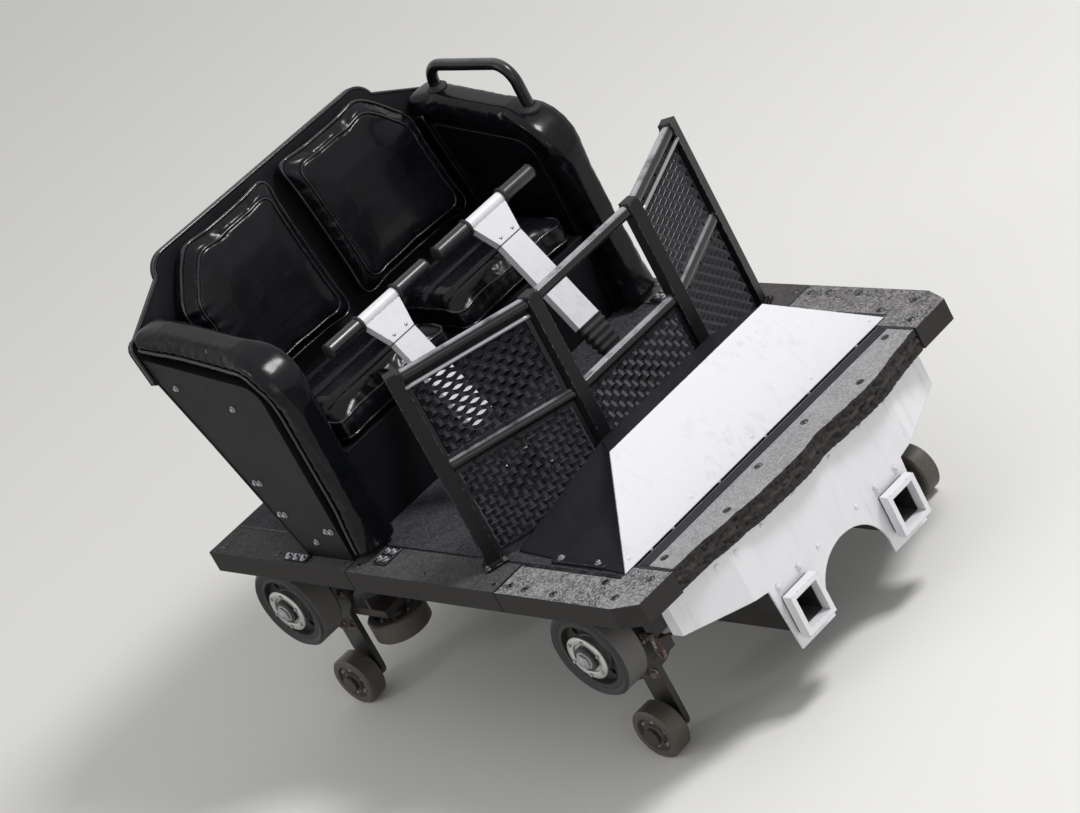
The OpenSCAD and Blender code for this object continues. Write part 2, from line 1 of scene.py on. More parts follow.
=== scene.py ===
"""Roller coaster car: upholstery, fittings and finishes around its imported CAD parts, in metres.

+X is forward, +Y left, +Z up. New pieces are numpy surfaces: a profile carried along a path, or a
function of two parameters on a grid. Padded pieces are swollen as cloth and get their seams afterwards.
"""
import math

import bmesh
import bpy
import numpy as np
from mathutils import Matrix, Vector
from mathutils.bvhtree import BVHTree


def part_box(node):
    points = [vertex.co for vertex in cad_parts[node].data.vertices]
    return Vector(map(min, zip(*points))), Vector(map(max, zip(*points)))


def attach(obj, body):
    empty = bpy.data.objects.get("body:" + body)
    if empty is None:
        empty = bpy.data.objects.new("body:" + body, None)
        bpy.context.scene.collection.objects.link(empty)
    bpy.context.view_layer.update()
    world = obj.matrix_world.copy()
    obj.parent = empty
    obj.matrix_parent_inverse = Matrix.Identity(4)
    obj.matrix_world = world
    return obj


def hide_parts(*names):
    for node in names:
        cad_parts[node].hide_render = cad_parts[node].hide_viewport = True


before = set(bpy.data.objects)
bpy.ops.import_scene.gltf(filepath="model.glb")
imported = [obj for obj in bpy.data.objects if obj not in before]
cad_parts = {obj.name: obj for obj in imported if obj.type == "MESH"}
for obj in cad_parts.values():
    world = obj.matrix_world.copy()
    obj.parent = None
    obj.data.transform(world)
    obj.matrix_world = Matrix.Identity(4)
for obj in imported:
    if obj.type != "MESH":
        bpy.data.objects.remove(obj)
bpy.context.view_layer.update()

bl_info = {
    "name": "Roller coaster car",
    "version": (1, 0, 0),
    "blender": (4, 5, 0),
    "location": "3D View > Sidebar > Car",
    "description": "Upholstery, fittings and finishes of the lead car of a roller coaster train",
    "category": "Object",
}

# Places that the fittings are set out from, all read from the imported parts
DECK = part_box("deck")
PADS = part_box("edge_pads")
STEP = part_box("front_step")
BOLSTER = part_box("side_bolsters")
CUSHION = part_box("seat_cushions")
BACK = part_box("back_cushions")
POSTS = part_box("guard_posts")
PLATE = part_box("nose_plate")
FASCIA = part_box("fascia")
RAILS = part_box("frame_rails")
FLOOR_Z = DECK[1].z
X_WAY, Y_WAY, Z_WAY = np.eye(3)


def centre_of(node):
    """The middle of a node's box."""
    low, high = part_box(node)
    return (np.array(low) + np.array(high)) / 2


FRONT_X, _, AXLE_Z = centre_of("hub_fl")
REAR_X = centre_of("hub_rl")[0]
CORNERS = (("fl", FRONT_X, 1), ("fr", FRONT_X, -1), ("rl", REAR_X, 1), ("rr", REAR_X, -1))

# Road wheels: radii of the hub's turned boss, and of the tyre where its polished band starts
BOSS_R, BAND_R = 0.047, 0.1185

# Lap bars: the left one's pivot, 26 mm under the top of its bracket, and the way up its leaning stem
PIVOT = np.array([centre_of("bar_mounts")[0], 0.203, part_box("bar_mounts")[1].z - 0.026])
LEAN = math.radians(28.7)
BAR_UP = np.array([-math.sin(LEAN), 0, math.cos(LEAN)])
BAR_AHEAD = np.array([math.cos(LEAN), 0, math.sin(LEAN)])

# Backrest: the ways up its face and forward from it
RECLINE = math.radians(10)
BACK_UP = np.array([-math.sin(RECLINE), 0, math.cos(RECLINE)])
BACK_AHEAD = np.array([math.cos(RECLINE), 0, math.sin(RECLINE)])

# Cushions stand off the car's middle, and fit between the inner faces of the two side bolsters
MIDDLE_GAP, INNER_WALL = 0.0075, 0.4550

# Each edge pad is of two lengths, which meet here
# Behind this joint the pads are darkened as painted shade
PAD_JOINT = 0.370

# Guard: each wing runs out and back from the middle of an inner post, and ahead is square to it
TUBE_R, POST_HALF = 0.016, 0.018
SWEPT, SPREAD = 0.171, 0.328
SWEEP = math.atan2(SWEPT, SPREAD)
WING = np.array([-math.sin(SWEEP), math.cos(SWEEP), 0])
AHEAD = np.array([math.cos(SWEEP), math.sin(SWEEP), 0])
INNER_POST = np.array([POSTS[1].x - 0.030, 0.188, 0])
OUTER_POST = INNER_POST + [-SWEPT, SPREAD, 0]
MID_Z, TOP_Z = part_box("guard_tubes")[0].z + TUBE_R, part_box("guard_tubes")[1].z - TUBE_R


def linear(code):
    """sRGB hex to linear light: c / 12.92 up to 0.04045, and ((c + 0.055) / 1.055) ** 2.4 above it."""
    c = np.array([int(code[i:i + 2], 16) for i in (1, 3, 5)]) / 255
    return tuple(float(v) for v in np.where(c <= 0.04045, c / 12.92, ((c + 0.055) / 1.055) ** 2.4))


def hue(name, code, text):
    """A colour setting whose default is an sRGB hex value."""
    return bpy.props.FloatVectorProperty(name=name, description=text, default=linear(code), size=3,
                                         min=0, max=1, subtype="COLOR")


def length(name, metres, text):
    """A length setting in metres."""
    return bpy.props.FloatProperty(name=name, description=text, default=metres, min=0, unit="LENGTH",
                                   subtype="DISTANCE", precision=4)


class CarColours(bpy.types.PropertyGroup):
    vinyl: hue("Black vinyl", "#0B0C10", "Bolsters, seat cushions and back cushions")
    piping: hue("Piping", "#111216", "Piping sewn into the seams")
    panel: hue("Side panel", "#18191C", "Moulded side panels, seat box and backrest shell")
    hood: hue("Hood", "#232329", "Hood behind the nose plate, and the bar behind the step")
    grit_pale: hue("Pale grit", "#A6A4A6", "Pale grains of the non-skid coat on pads and step")
    grit_dark: hue("Dark grit", "#3B393C", "Dark grains of the non-skid coat on the pads")
    step_dark: hue("Dark step grit", "#817F81", "Dark grains of the non-skid coat on the step")
    # Floor plate grit colours are darker than the coat's own mid grey: painted shade over the deck
    floor_pale: hue("Pale floor grit", "#46474E", "Pale grains of the floor plate's coat")
    floor_dark: hue("Dark floor grit", "#15161B", "Dark grains of the floor plate's coat")
    core: hue("Pad core", "#211F1E", "Dark core that shows on the sides of pads and step")
    enamel: hue("White enamel", "#E4E4E8", "Nose plate, fascia, tube frames and lap bar stems")
    grime: hue("Grime", "#8E8A84", "Dirt that lies on the white enamel")
    coat: hue("Black powder coat", "#111114", "Guard, grab rail and lap bar brackets")
    mesh: hue("Mesh coat", "#242328", "Expanded metal of the guard")
    # Worn metal is also the colour of the painted highlight along the tops of guard tubes and grab rail
    worn: hue("Worn metal", "#B9BBC0", "Metal that shows where black coat has worn through")
    chassis: hue("Chassis paint", "#2D2B2A", "Frame, axle beams and wheel carriers")
    rust: hue("Rust", "#5B4031", "Rust at joints, bolts and chips")
    hub: hue("Hub metal", "#B9BABD", "Cast hubs of the road wheels")
    tyre: hue("Tyre", "#1C1B1C", "Tyres of the road wheels")
    small: hue("Small wheel", "#4A453F", "Guide wheels and up-stop wheels")
    rubber: hue("Rubber", "#131315", "Grips and lap bar boots")
    steel: hue("Bare steel", "#A4A6A9", "Brake fin and turned steel")
    zinc: hue("Zinc", "#A7A9AC", "Bolts, nuts and washers")
    dust: hue("Dust", "#6F6E6C", "Dust that lies on the vinyl")
    soil: hue("Soil", "#524C46", "Brown stain of the left edge pad")
    ply: hue("Ply", "#575251", "Paler ply in the side of the front step")
    road_dust: hue("Road dust", "#847E76", "Dust that lies on the chassis")
    grease: hue("Grease", "#353330", "Grease on webs and rims of the road wheels")
    tread: hue("Tread", "#656361", "Band of a tyre that rolling has polished")


class CarPadding(bpy.types.PropertyGroup):
    voxel: length("Voxel", 0.006, "Grid that a padded form is remeshed on before it swells")
    cap: length("Most swelling", 0.012, "How far a point of a padded form may move")
    pressure: bpy.props.FloatProperty(name="Pressure", description="Pressure inside a padded form",
                                      default=4, min=0, max=20)
    frames: bpy.props.IntProperty(name="Frames", description="Frames that the cloth is run for", default=20,
                                  min=2, max=40)
    piping: length("Piping radius", 0.0042, "Radius of the piping in the seams")
    seam: length("Seam depth", 0.0035, "How deep a sewn seam pulls the vinyl in")
    gather: length("Gather height", 0.0030, "Height of the gathers beside a seam")


class CarFittings(bpy.types.PropertyGroup):
    bolt: length("Bolt head", 0.018, "Width across the corners of a bolt's head")
    small_bolt: length("Small bolt head", 0.012, "Width across the corners of a small bolt's head")
    weld: length("Weld bead", 0.0040, "Radius of a weld bead")
    ragged: length("Ragged edge", 0.008, "How far the front step's edge is chewed away")


class CarStage(bpy.types.PropertyGroup):
    eye: bpy.props.FloatVectorProperty(name="Eye", description="Where the camera stands", size=3,
                                       default=(7.797, -4.967, 4.891), unit="LENGTH", subtype="TRANSLATION")
    aim: bpy.props.FloatVectorProperty(name="Aim", description="Point in the middle of the view", size=3,
                                       default=(0.028, -0.038, 0.641), unit="LENGTH", subtype="TRANSLATION")
    top: bpy.props.FloatVectorProperty(name="Top", description="Direction that is up in the view", size=3,
                                       default=(-0.106, 0.632, 0.768), subtype="DIRECTION")
    lens: bpy.props.FloatProperty(name="Lens", description="Focal length for a 36 mm sensor, in millimetres",
                                  default=137, min=20, max=400)
    floor: hue("Floor", "#E9E8E5", "Plain pale floor")
    key: bpy.props.FloatProperty(name="Key light", description="Power of the main lamp, high up ahead on the left",
                                 default=510, min=0, unit="POWER")
    backdrop: bpy.props.FloatProperty(name="Backdrop", description="Brightness of the pale background",
                                      default=0.80, min=0, max=1)
    sky: bpy.props.FloatProperty(name="Sky", description="Strength of the even light from all round",
                                 default=0.50, min=0)


# Meshes as whole arrays: a part is its points and one array of faces for each number of corners


def mesh_of(name, points, *faces):
    """A mesh from an (n, 3) array of points and arrays of faces, with all faces turned outwards."""
    mesh = bpy.data.meshes.new(name)
    sizes = np.concatenate([np.full(len(f), f.shape[1]) for f in faces])
    corners = np.concatenate([f.ravel() for f in faces]).astype(np.int32)
    mesh.vertices.add(len(points))
    mesh.vertices.foreach_set("co", np.asarray(points, np.float32).ravel())
    mesh.loops.add(len(corners))
    mesh.loops.foreach_set("vertex_index", corners)
    mesh.polygons.add(len(sizes))
    mesh.polygons.foreach_set("loop_start", np.concatenate([[0], np.cumsum(sizes)[:-1]]).astype(np.int32))
    mesh.update(calc_edges=True)
    mesh.validate()
    turn_outwards(mesh)
    return mesh


def turn_outwards(mesh):
    """Recalculates the normals of a closed mesh so that its faces point outwards."""
    work = bmesh.new()
    work.from_mesh(mesh)
    bmesh.ops.recalc_face_normals(work, faces=work.faces)
    work.to_mesh(mesh)
    work.free()


def linked(name, data):
    """A new object in the scene, made of a mesh, a lamp or a camera."""
    piece = bpy.data.objects.new(name, data)
    bpy.context.scene.collection.objects.link(piece)
    return piece


def move_points(mesh, points):
    """Gives a mesh new places for its points, an (n, 3) array."""
    mesh.vertices.foreach_set("co", points.astype(np.float32).ravel())
    mesh.update()


def add_piece(name, part, kind, smooth=True, body="car"):
    """Adds a part as a piece that rides on a body, with its finish."""
    piece = linked(name, mesh_of(name, *part))
    piece.data.materials.append(finish(kind))
    piece.data.polygons.foreach_set("use_smooth", np.full(len(piece.data.polygons), smooth))
    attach(piece, body)
    return piece


def lattice(rows, columns, ring_rows=False, ring_columns=False):
    """Quads between neighbours of a grid of points; a ringed direction joins its end to its start."""
    i, j = np.meshgrid(np.arange(rows if ring_rows else rows - 1),
                       np.arange(columns if ring_columns else columns - 1), indexing="ij")
    up, over = (i + 1) % rows, (j + 1) % columns
    return np.stack([i * columns + j, i * columns + over, up * columns + over, up * columns + j], -1).reshape(-1, 4)


def closed_skin(grid):
    """A surface whose rows are rings, with each end closed by a fan to the middle of its ring."""
    rows, columns = grid.shape[:2]
    j = np.arange(columns)
    over = (j + 1) % columns
    first = np.stack([np.full(columns, rows * columns), over, j], -1)
    last = np.stack([np.full(columns, rows * columns + 1), (rows - 1) * columns + j,
                     (rows - 1) * columns + over], -1)
    points = np.concatenate([grid.reshape(-1, 3), grid[[0, -1]].mean(1)])
    return points, lattice(rows, columns, ring_columns=True), np.concatenate([first, last])


def together(*parts):
    """Several parts as one: the points follow each other, and the faces' numbers are moved up to match."""
    points, faces, start = [], [], 0
    for own, *own_faces in parts:
        points.append(own)
        faces += [f + start for f in own_faces]
        start += len(own)
    return (np.concatenate(points), *faces)


def around(count):
    """That many angles, evenly once round."""
    return np.arange(count) * 2 * np.pi / count


def rounder(v, power):
    """The power of a cosine or sine with its sign kept: below 1 it makes a circle squarer."""
    return np.sign(v) * np.abs(v) ** power


def skin_of(grid, ring):
    """A surface whose rows are rings: the last row joined to the first, or each end closed by a fan."""
    if ring:
        return grid.reshape(-1, 3), lattice(*grid.shape[:2], True, True)
    return closed_skin(grid)


def turned(profile, sides, ring=False):
    """A profile of (radius, height) carried round Z: (r cos a, r sin a, h). A ring's profile is a closed outline."""
    profile = np.asarray(profile, float)
    a = around(sides)
    grid = np.stack([profile[:, :1] * np.cos(a), profile[:, :1] * np.sin(a),
                     np.repeat(profile[:, 1:], sides, 1)], -1)
    return skin_of(grid, ring)


def copies(part, places, facing=Z_WAY):
    """Copies of a part drawn about +Z, each at its place with Z along its facing: p = place + x X + y Y + z Z."""
    points, *faces = part
    places = np.atleast_2d(np.asarray(places, float))
    z = np.broadcast_to(np.asarray(facing, float), places.shape)
    z = z / np.linalg.norm(z, axis=1, keepdims=True)
    x = np.cross(np.where(np.abs(z[:, :1]) < 0.9, [[1.0, 0, 0]], [[0, 1.0, 0]]), z)
    x = x / np.linalg.norm(x, axis=1, keepdims=True)
    axes = np.stack([x, np.cross(z, x), z], 1)
    placed = places[:, None] + np.einsum("pk,nkc->npc", points, axes)
    jump = len(points) * np.arange(len(places))[:, None, None]
    return (placed.reshape(-1, 3), *[(f[None] + jump).reshape(-1, f.shape[1]) for f in faces])


def evenly(path, step, ring=False):
    """The same line with its points a given step apart, found along its length."""
    path = np.asarray(path, float)
    if ring:
        path = np.concatenate([path, path[:1]])
    run = np.concatenate([[0], np.cumsum(np.linalg.norm(np.diff(path, axis=0), axis=1))])
    count = max(4, int(round(run[-1] / step)) + 1)
    at = np.linspace(0, run[-1], count)[:-1 if ring else None]
    return np.stack([np.interp(at, run, path[:, k]) for k in range(path.shape[1])], 1)


def tube(path, radius, sides, ring=False):
    """A circle carried along a path: p + r (cos a N + sin a B), N being square to the path's plane."""
    path = np.asarray(path, float)
    if ring:
        along = np.roll(path, -1, 0) - np.roll(path, 1, 0)
    else:
        along = np.gradient(path, axis=0)
    along /= np.linalg.norm(along, axis=1, keepdims=True)
    plane = np.linalg.svd(path - path.mean(0))[2][-1]
    n = plane - along * (along @ plane)[:, None]
    n /= np.linalg.norm(n, axis=1, keepdims=True)
    b = np.cross(along, n)
    a = around(sides)[None, :, None]
    r = np.broadcast_to(radius, len(path))[:, None, None]
    return skin_of(path[:, None] + r * (np.cos(a) * n[:, None] + np.sin(a) * b[:, None]), ring)


def bead(path, radius, ring=True):
    """A weld bead: a tube whose radius swells at each ripple, r (1 + 0.2 |sin(pi s / 5 mm)|)."""
    line = evenly(path, 0.0025, ring)
    s = np.arange(len(line)) * 0.0025
    return tube(line, radius * (1 + 0.2 * np.abs(np.sin(np.pi * s / 0.005))), 6, ring)


def slab(low, high, edge=0.0015):
    """A box from low to high with its edges taken off: a rectangle carried upwards and drawn in at both ends."""
    low, high = np.asarray(low, float), np.asarray(high, float)
    half = (high[:2] - low[:2]) / 2
    corner = np.array([[1, 1], [-1, 1], [-1, -1], [1, -1]])
    turn = np.array([[0, 1], [1, 0], [0, 1], [1, 0]])
    inset = np.concatenate([[corner[k] * (half - edge * turn[k]), corner[k] * (half - edge * (1 - turn[k]))]
                            for k in range(4)])
    z = np.array([low[2], low[2] + edge, high[2] - edge, high[2]])
    draw = np.array([edge, 0, 0, edge])[:, None, None]
    plan = (low[:2] + high[:2]) / 2 + inset[None] - draw * np.sign(inset)[None]
    grid = np.concatenate([plan, np.broadcast_to(z[:, None, None], (4, 8, 1))], -1)
    return closed_skin(grid)


def bolt_part(across, height, washer=1.7):
    """A hexagon head with its chamfer on a round washer, drawn about +Z."""
    r, t = across / 2, height * 0.22
    head = turned([(r, t * 0.9), (r, height * 0.86), (r * 0.86, height)], 6)
    return together(turned([(r * washer, 0), (r * washer, t * 0.8), (r * washer * 0.92, t)], 14), head)


def dome_part(radius, height):
    """A low round head: (r cos q, h sin q) over a short edge."""
    q = np.linspace(0, np.pi / 2 * 0.9, 4)
    return turned([(radius, 0)] + [(radius * math.cos(v), height * (0.25 + 0.75 * math.sin(v))) for v in q], 14)


def rect_path(centre, u, v, a, b):
    """The corners of a rectangle about a centre, a along u and b along v to each side."""
    centre, u, v = np.asarray(centre, float), np.asarray(u, float), np.asarray(v, float)
    return centre + np.array([[1, 1], [-1, 1], [-1, -1], [1, -1]]) @ np.stack([a * u, b * v])


def mirrored(part):
    """A part and its mirror image across the car's middle."""
    points, *faces = part
    return together(part, (points * [1, -1, 1], *faces))


# Materials

# A Mix node of two colours: input 0 is the share, 6 and 7 are the colours, and output 2 is the mix
COLOURS = {"out": 2, "data_type": "RGBA"}


def feed(node, inputs):
    """Gives a node its inputs, each a value or a link from another node."""
    for name, value in inputs.items():
        if isinstance(value, bpy.types.NodeSocket):
            node.id_data.links.new(value, node.inputs[name])
        else:
            node.inputs[name].default_value = value


def put(tree, kind, inputs=None, out=0, **settings):
    """Adds a shader node with its settings and the values or links of its inputs, and returns one output."""
    node = tree.nodes.new("ShaderNode" + kind)
    for name, value in settings.items():
        setattr(node, name, value)
    feed(node, inputs or {})
    return node.outputs[out] if node.outputs else node


def per_mm(size):
    """The scale of a texture whose features are that many millimetres wide."""
    return 1000 / size


def sized(place, size, **more):
    """Inputs of a texture at a place, its features that many millimetres wide."""
    return {"Vector": place, "Scale": per_mm(size), **more}


def shade(colour, factor=1.0):
    """One of the car's colours made lighter or darker, with its alpha."""
    return tuple(min(1, c * factor) for c in getattr(bpy.context.scene.car_colours, colour)) + (1,)


def blank(name, roughness, metallic=0.0):
    """A new material's node tree, its principled shader and the object coordinates."""
    material = bpy.data.materials.new(name)
    material.use_nodes = True
    tree = material.node_tree
    shader = tree.nodes["Principled BSDF"]
    feed(shader, {"Roughness": roughness, "Metallic": metallic})
    return tree, shader, put(tree, "TexCoord", out="Object")


def softened(tree, radius):
    """The normal with edges rounded off over a radius."""
    return put(tree, "Bevel", {"Radius": radius}, samples=6)


def rim_of(tree, softened_normal):
    """A mask that is 1 on edges, where the softened normal turns away from the plain one."""
    flat = put(tree, "NewGeometry", out="Normal")
    match = put(tree, "VectorMath", {0: softened_normal, 1: flat}, out="Value", operation="DOT_PRODUCT")
    return put(tree, "MapRange", {"Value": match, "From Min": 0.995, "From Max": 0.86})


def patches(tree, place, size, low, high, most=1.0, **more):
    """Soft-edged patches that many millimetres wide: noise that grows from 0 at low to most at high."""
    noise = put(tree, "TexNoise", sized(place, size, **more))
    return put(tree, "MapRange", {"Value": noise, "From Min": low, "From Max": high, "To Max": most})


def upwards(tree):
    """How far a surface faces up: the Z of its normal."""
    return put(tree, "SeparateXYZ", {"Vector": put(tree, "NewGeometry", out="Normal")}, out="Z")


def from_axle(tree, place, axle_x):
    """Distance from a road wheel's axis."""
    centred = put(tree, "Mapping", {"Vector": place, "Location": (-axle_x, 0, -AXLE_Z), "Scale": (1, 0, 1)})
    return put(tree, "VectorMath", {0: centred}, out="Value", operation="LENGTH")


def upholstery_vinyl(name, colour, coat=0.17, film=0.02, haze=0.11):
    """Coated upholstery vinyl, embossed and polished: a soft gloss, fine leather grain and creases.

    More coat shines harder, more haze spreads that shine, and film is the most dust that lies on it."""
    tree, shader, place = blank(name, 0.34)
    # Real grain is under 1 mm; it is drawn at 1.8 mm so that it shows
    grain = put(tree, "TexVoronoi", sized(place, 1.8), out="Distance", feature="DISTANCE_TO_EDGE")
    crease = put(tree, "TexNoise", sized(place, 22, Detail=2, Distortion=0.5))
    spread = patches(tree, place, 90, 0.35, 0.65, Detail=3)
    body = put(tree, "Mix", {0: spread, 6: shade(colour, 0.8), 7: shade(colour, 1.35)}, **COLOURS)
    dust = patches(tree, place, 45, 0.55, 0.8, film, Detail=4, Roughness=0.6)
    dusty = put(tree, "Mix", {0: dust, 6: body, 7: shade("dust")}, **COLOURS)
    gloss = put(tree, "MapRange", {"Value": crease, "From Min": 0.3, "From Max": 0.7, "To Min": 0.21, "To Max": 0.31})
    low = put(tree, "Bump", {"Height": crease, "Strength": 0.11, "Distance": 0.0010})
    fine = put(tree, "Bump", {"Height": grain, "Strength": 0.04, "Distance": 0.0003, "Normal": low})
    feed(shader, {"Base Color": dusty, "Roughness": gloss, "Normal": fine, "Specular IOR Level": 0.14,
                  "Coat Weight": coat, "Coat Roughness": haze})


def moulded_plastic(name, colour):
    """Vacuum-formed ABS with a pebble texture: a dull charcoal sheet with scuffs and paler rubbed edges."""
    tree, shader, place = blank(name, 0.5)
    pebble = put(tree, "TexVoronoi", sized(place, 3), out="Distance", feature="SMOOTH_F1")
    spread = patches(tree, place, 120, 0.35, 0.68, Detail=5, Roughness=0.6)
    body = put(tree, "Mix", {0: spread, 6: shade(colour, 0.82), 7: shade(colour, 1.22)}, **COLOURS)
    drawn_down = put(tree, "Mapping", {"Vector": place, "Scale": (1, 1, 0.12)})
    streak = put(tree, "TexNoise", sized(drawn_down, 9, Detail=5, Roughness=0.65))
    scuff = put(tree, "MapRange", {"Value": streak, "From Min": 0.6, "From Max": 0.78, "To Max": 0.35})
    scuffed = put(tree, "Mix", {0: scuff, 6: body, 7: shade(colour, 2.1)}, **COLOURS)
    normal = softened(tree, 0.003)
    lightened = put(tree, "Mix", {0: rim_of(tree, normal), 6: scuffed, 7: shade(colour, 1.9)}, **COLOURS)
    gloss = put(tree, "MapRange", {"Value": streak, "To Min": 0.4, "To Max": 0.62})
    bump = put(tree, "Bump", {"Height": pebble, "Strength": 0.25, "Distance": 0.0006, "Normal": normal})
    feed(shader, {"Base Color": lightened, "Roughness": gloss, "Normal": bump, "Specular IOR Level": 0.17})


def grit_coat(name, pale, dark, shaded_behind=None, layered=False):
    """Epoxy coat strewn with grit, trodden paler in places: a matt speckle on top of a dark layered core.

    Behind a given place along the car the coat is darkened as painted shade, and left of the middle it is browner. A
    layered core shows a paler ply halfway down its chewed side."""
    tree, shader, place = blank(name, 0.85)
    # Real grit is 1 to 2 mm; it is drawn at 4 mm so that it shows
    cell = put(tree, "TexVoronoi", sized(place, 4.2), out="Color")
    grain = put(tree, "SeparateColor", {"Color": cell})
    fine = put(tree, "TexNoise", sized(place, 2.2, Detail=3))
    mixed = put(tree, "Math", {0: grain, 1: fine}, operation="MULTIPLY")
    level = put(tree, "MapRange", {"Value": mixed, "From Min": 0.1, "From Max": 0.5})
    speckle = put(tree, "Mix", {0: level, 6: shade(dark), 7: shade(pale)}, **COLOURS)
    trod = patches(tree, place, 110, 0.4, 0.72, 0.5, Detail=5, Roughness=0.62)
    worn = put(tree, "Mix", {0: trod, 6: speckle, 7: shade(pale, 1.1)}, **COLOURS)
    dirt = patches(tree, place, 38, 0.56, 0.75, 0.55, Detail=4)
    stained = put(tree, "Mix", {0: dirt, 6: worn, 7: shade(dark, 0.8)}, **COLOURS)
    height = put(tree, "SeparateXYZ", {"Vector": place}, out="Z")
    level_top = put(tree, "MapRange", {"Value": height, "From Min": FLOOR_Z - 0.004, "From Max": FLOOR_Z - 0.002})
    facing_up = put(tree, "MapRange", {"Value": upwards(tree), "From Min": 0.9, "From Max": 0.97})
    top = put(tree, "Math", {0: facing_up, 1: level_top}, operation="MULTIPLY")
    # Painted shade: behind the given place along the car the coat is darkened
    if shaded_behind is not None:
        along, across = (put(tree, "SeparateXYZ", {"Vector": place}, out=axis) for axis in "XY")
        painted_shade_behind = put(tree, "MapRange", {"Value": along, "From Min": shaded_behind + 0.001, "From Max": shaded_behind - 0.001,
                                      "To Max": 0.82})
        stained = put(tree, "Mix", {0: painted_shade_behind, 6: stained, 7: shade(dark, 0.55)}, **COLOURS)
        left = put(tree, "MapRange", {"Value": across, "To Max": 0.42})
        stained = put(tree, "Mix", {0: left, 6: stained, 7: shade("soil")}, **COLOURS)
    flank = put(tree, "TexNoise", sized(place, 14, Detail=6, Roughness=0.7))
    side = put(tree, "Mix", {0: flank, 6: shade("core", 0.55), 7: shade("core", 1.7)}, **COLOURS)
    if layered:
        from_ply = put(tree, "Math", {0: height, 1: FLOOR_Z - 0.030}, operation="SUBTRACT")
        away = put(tree, "Math", {0: from_ply}, operation="ABSOLUTE")
        fray = put(tree, "Math", {0: flank, 1: 0.012}, operation="MULTIPLY")
        frayed = put(tree, "Math", {0: away, 1: fray}, operation="ADD")
        ply = put(tree, "MapRange", {"Value": frayed, "From Min": 0.0150, "From Max": 0.0105, "To Max": 0.24})
        side = put(tree, "Mix", {0: ply, 6: side, 7: shade("ply")}, **COLOURS)
    whole = put(tree, "Mix", {0: top, 6: side, 7: stained}, **COLOURS)
    normal = softened(tree, 0.004)
    coarse = put(tree, "Bump", {"Height": flank, "Strength": 0.3, "Distance": 0.002, "Normal": normal})
    bump = put(tree, "Bump", {"Height": mixed, "Strength": 0.6, "Distance": 0.0012, "Normal": coarse})
    feed(shader, {"Base Color": whole, "Normal": bump})


def white_enamel(name, black_foot=False):
    """Brushed-on gloss enamel over steel: slight orange peel, dirt runs, and chips with rust on the edges.

    A lap bar's enamel stops short of the pivot and leaves a black foot."""
    tree, shader, place = blank(name, 0.32)
    drawn_down = put(tree, "Mapping", {"Vector": place, "Scale": (1, 1, 0.16)})
    run = put(tree, "TexNoise", sized(drawn_down, 22, Detail=6, Roughness=0.66))
    dirt = put(tree, "MapRange", {"Value": run, "From Min": 0.5, "From Max": 0.8, "To Max": 0.42})
    cloud = put(tree, "TexNoise", sized(place, 160, Detail=4))
    amount = put(tree, "MapRange", {"Value": cloud, "From Min": 0.4, "From Max": 0.66, "To Min": 0.15})
    film = put(tree, "Math", {0: dirt, 1: amount}, operation="MULTIPLY")
    body = put(tree, "Mix", {0: film, 6: shade("enamel"), 7: shade("grime")}, **COLOURS)
    normal = softened(tree, 0.003)
    broken = patches(tree, place, 9, 0.52, 0.6, Detail=6, Roughness=0.75)
    chip = put(tree, "Math", {0: rim_of(tree, normal), 1: broken}, operation="MULTIPLY")
    chipped = put(tree, "Mix", {0: chip, 6: body, 7: shade("rust", 0.7)}, **COLOURS)
    if black_foot:
        height = put(tree, "VectorMath", {0: place, 1: tuple(BAR_UP)}, out="Value", operation="DOT_PRODUCT")
        foot = 0.120
        edge = float(PIVOT[[0, 2]] @ BAR_UP[[0, 2]]) + foot
        low = put(tree, "MapRange", {"Value": height, "From Min": edge + 0.001, "From Max": edge - 0.001})
        chipped = put(tree, "Mix", {0: low, 6: chipped, 7: shade("coat")}, **COLOURS)
    gloss = put(tree, "MapRange", {"Value": run, "To Min": 0.24, "To Max": 0.5})
    peel = put(tree, "TexNoise", sized(place, 6, Detail=2))
    bump = put(tree, "Bump", {"Height": peel, "Strength": 0.12, "Distance": 0.0006, "Normal": normal})
    feed(shader, {"Base Color": chipped, "Roughness": gloss, "Normal": bump})


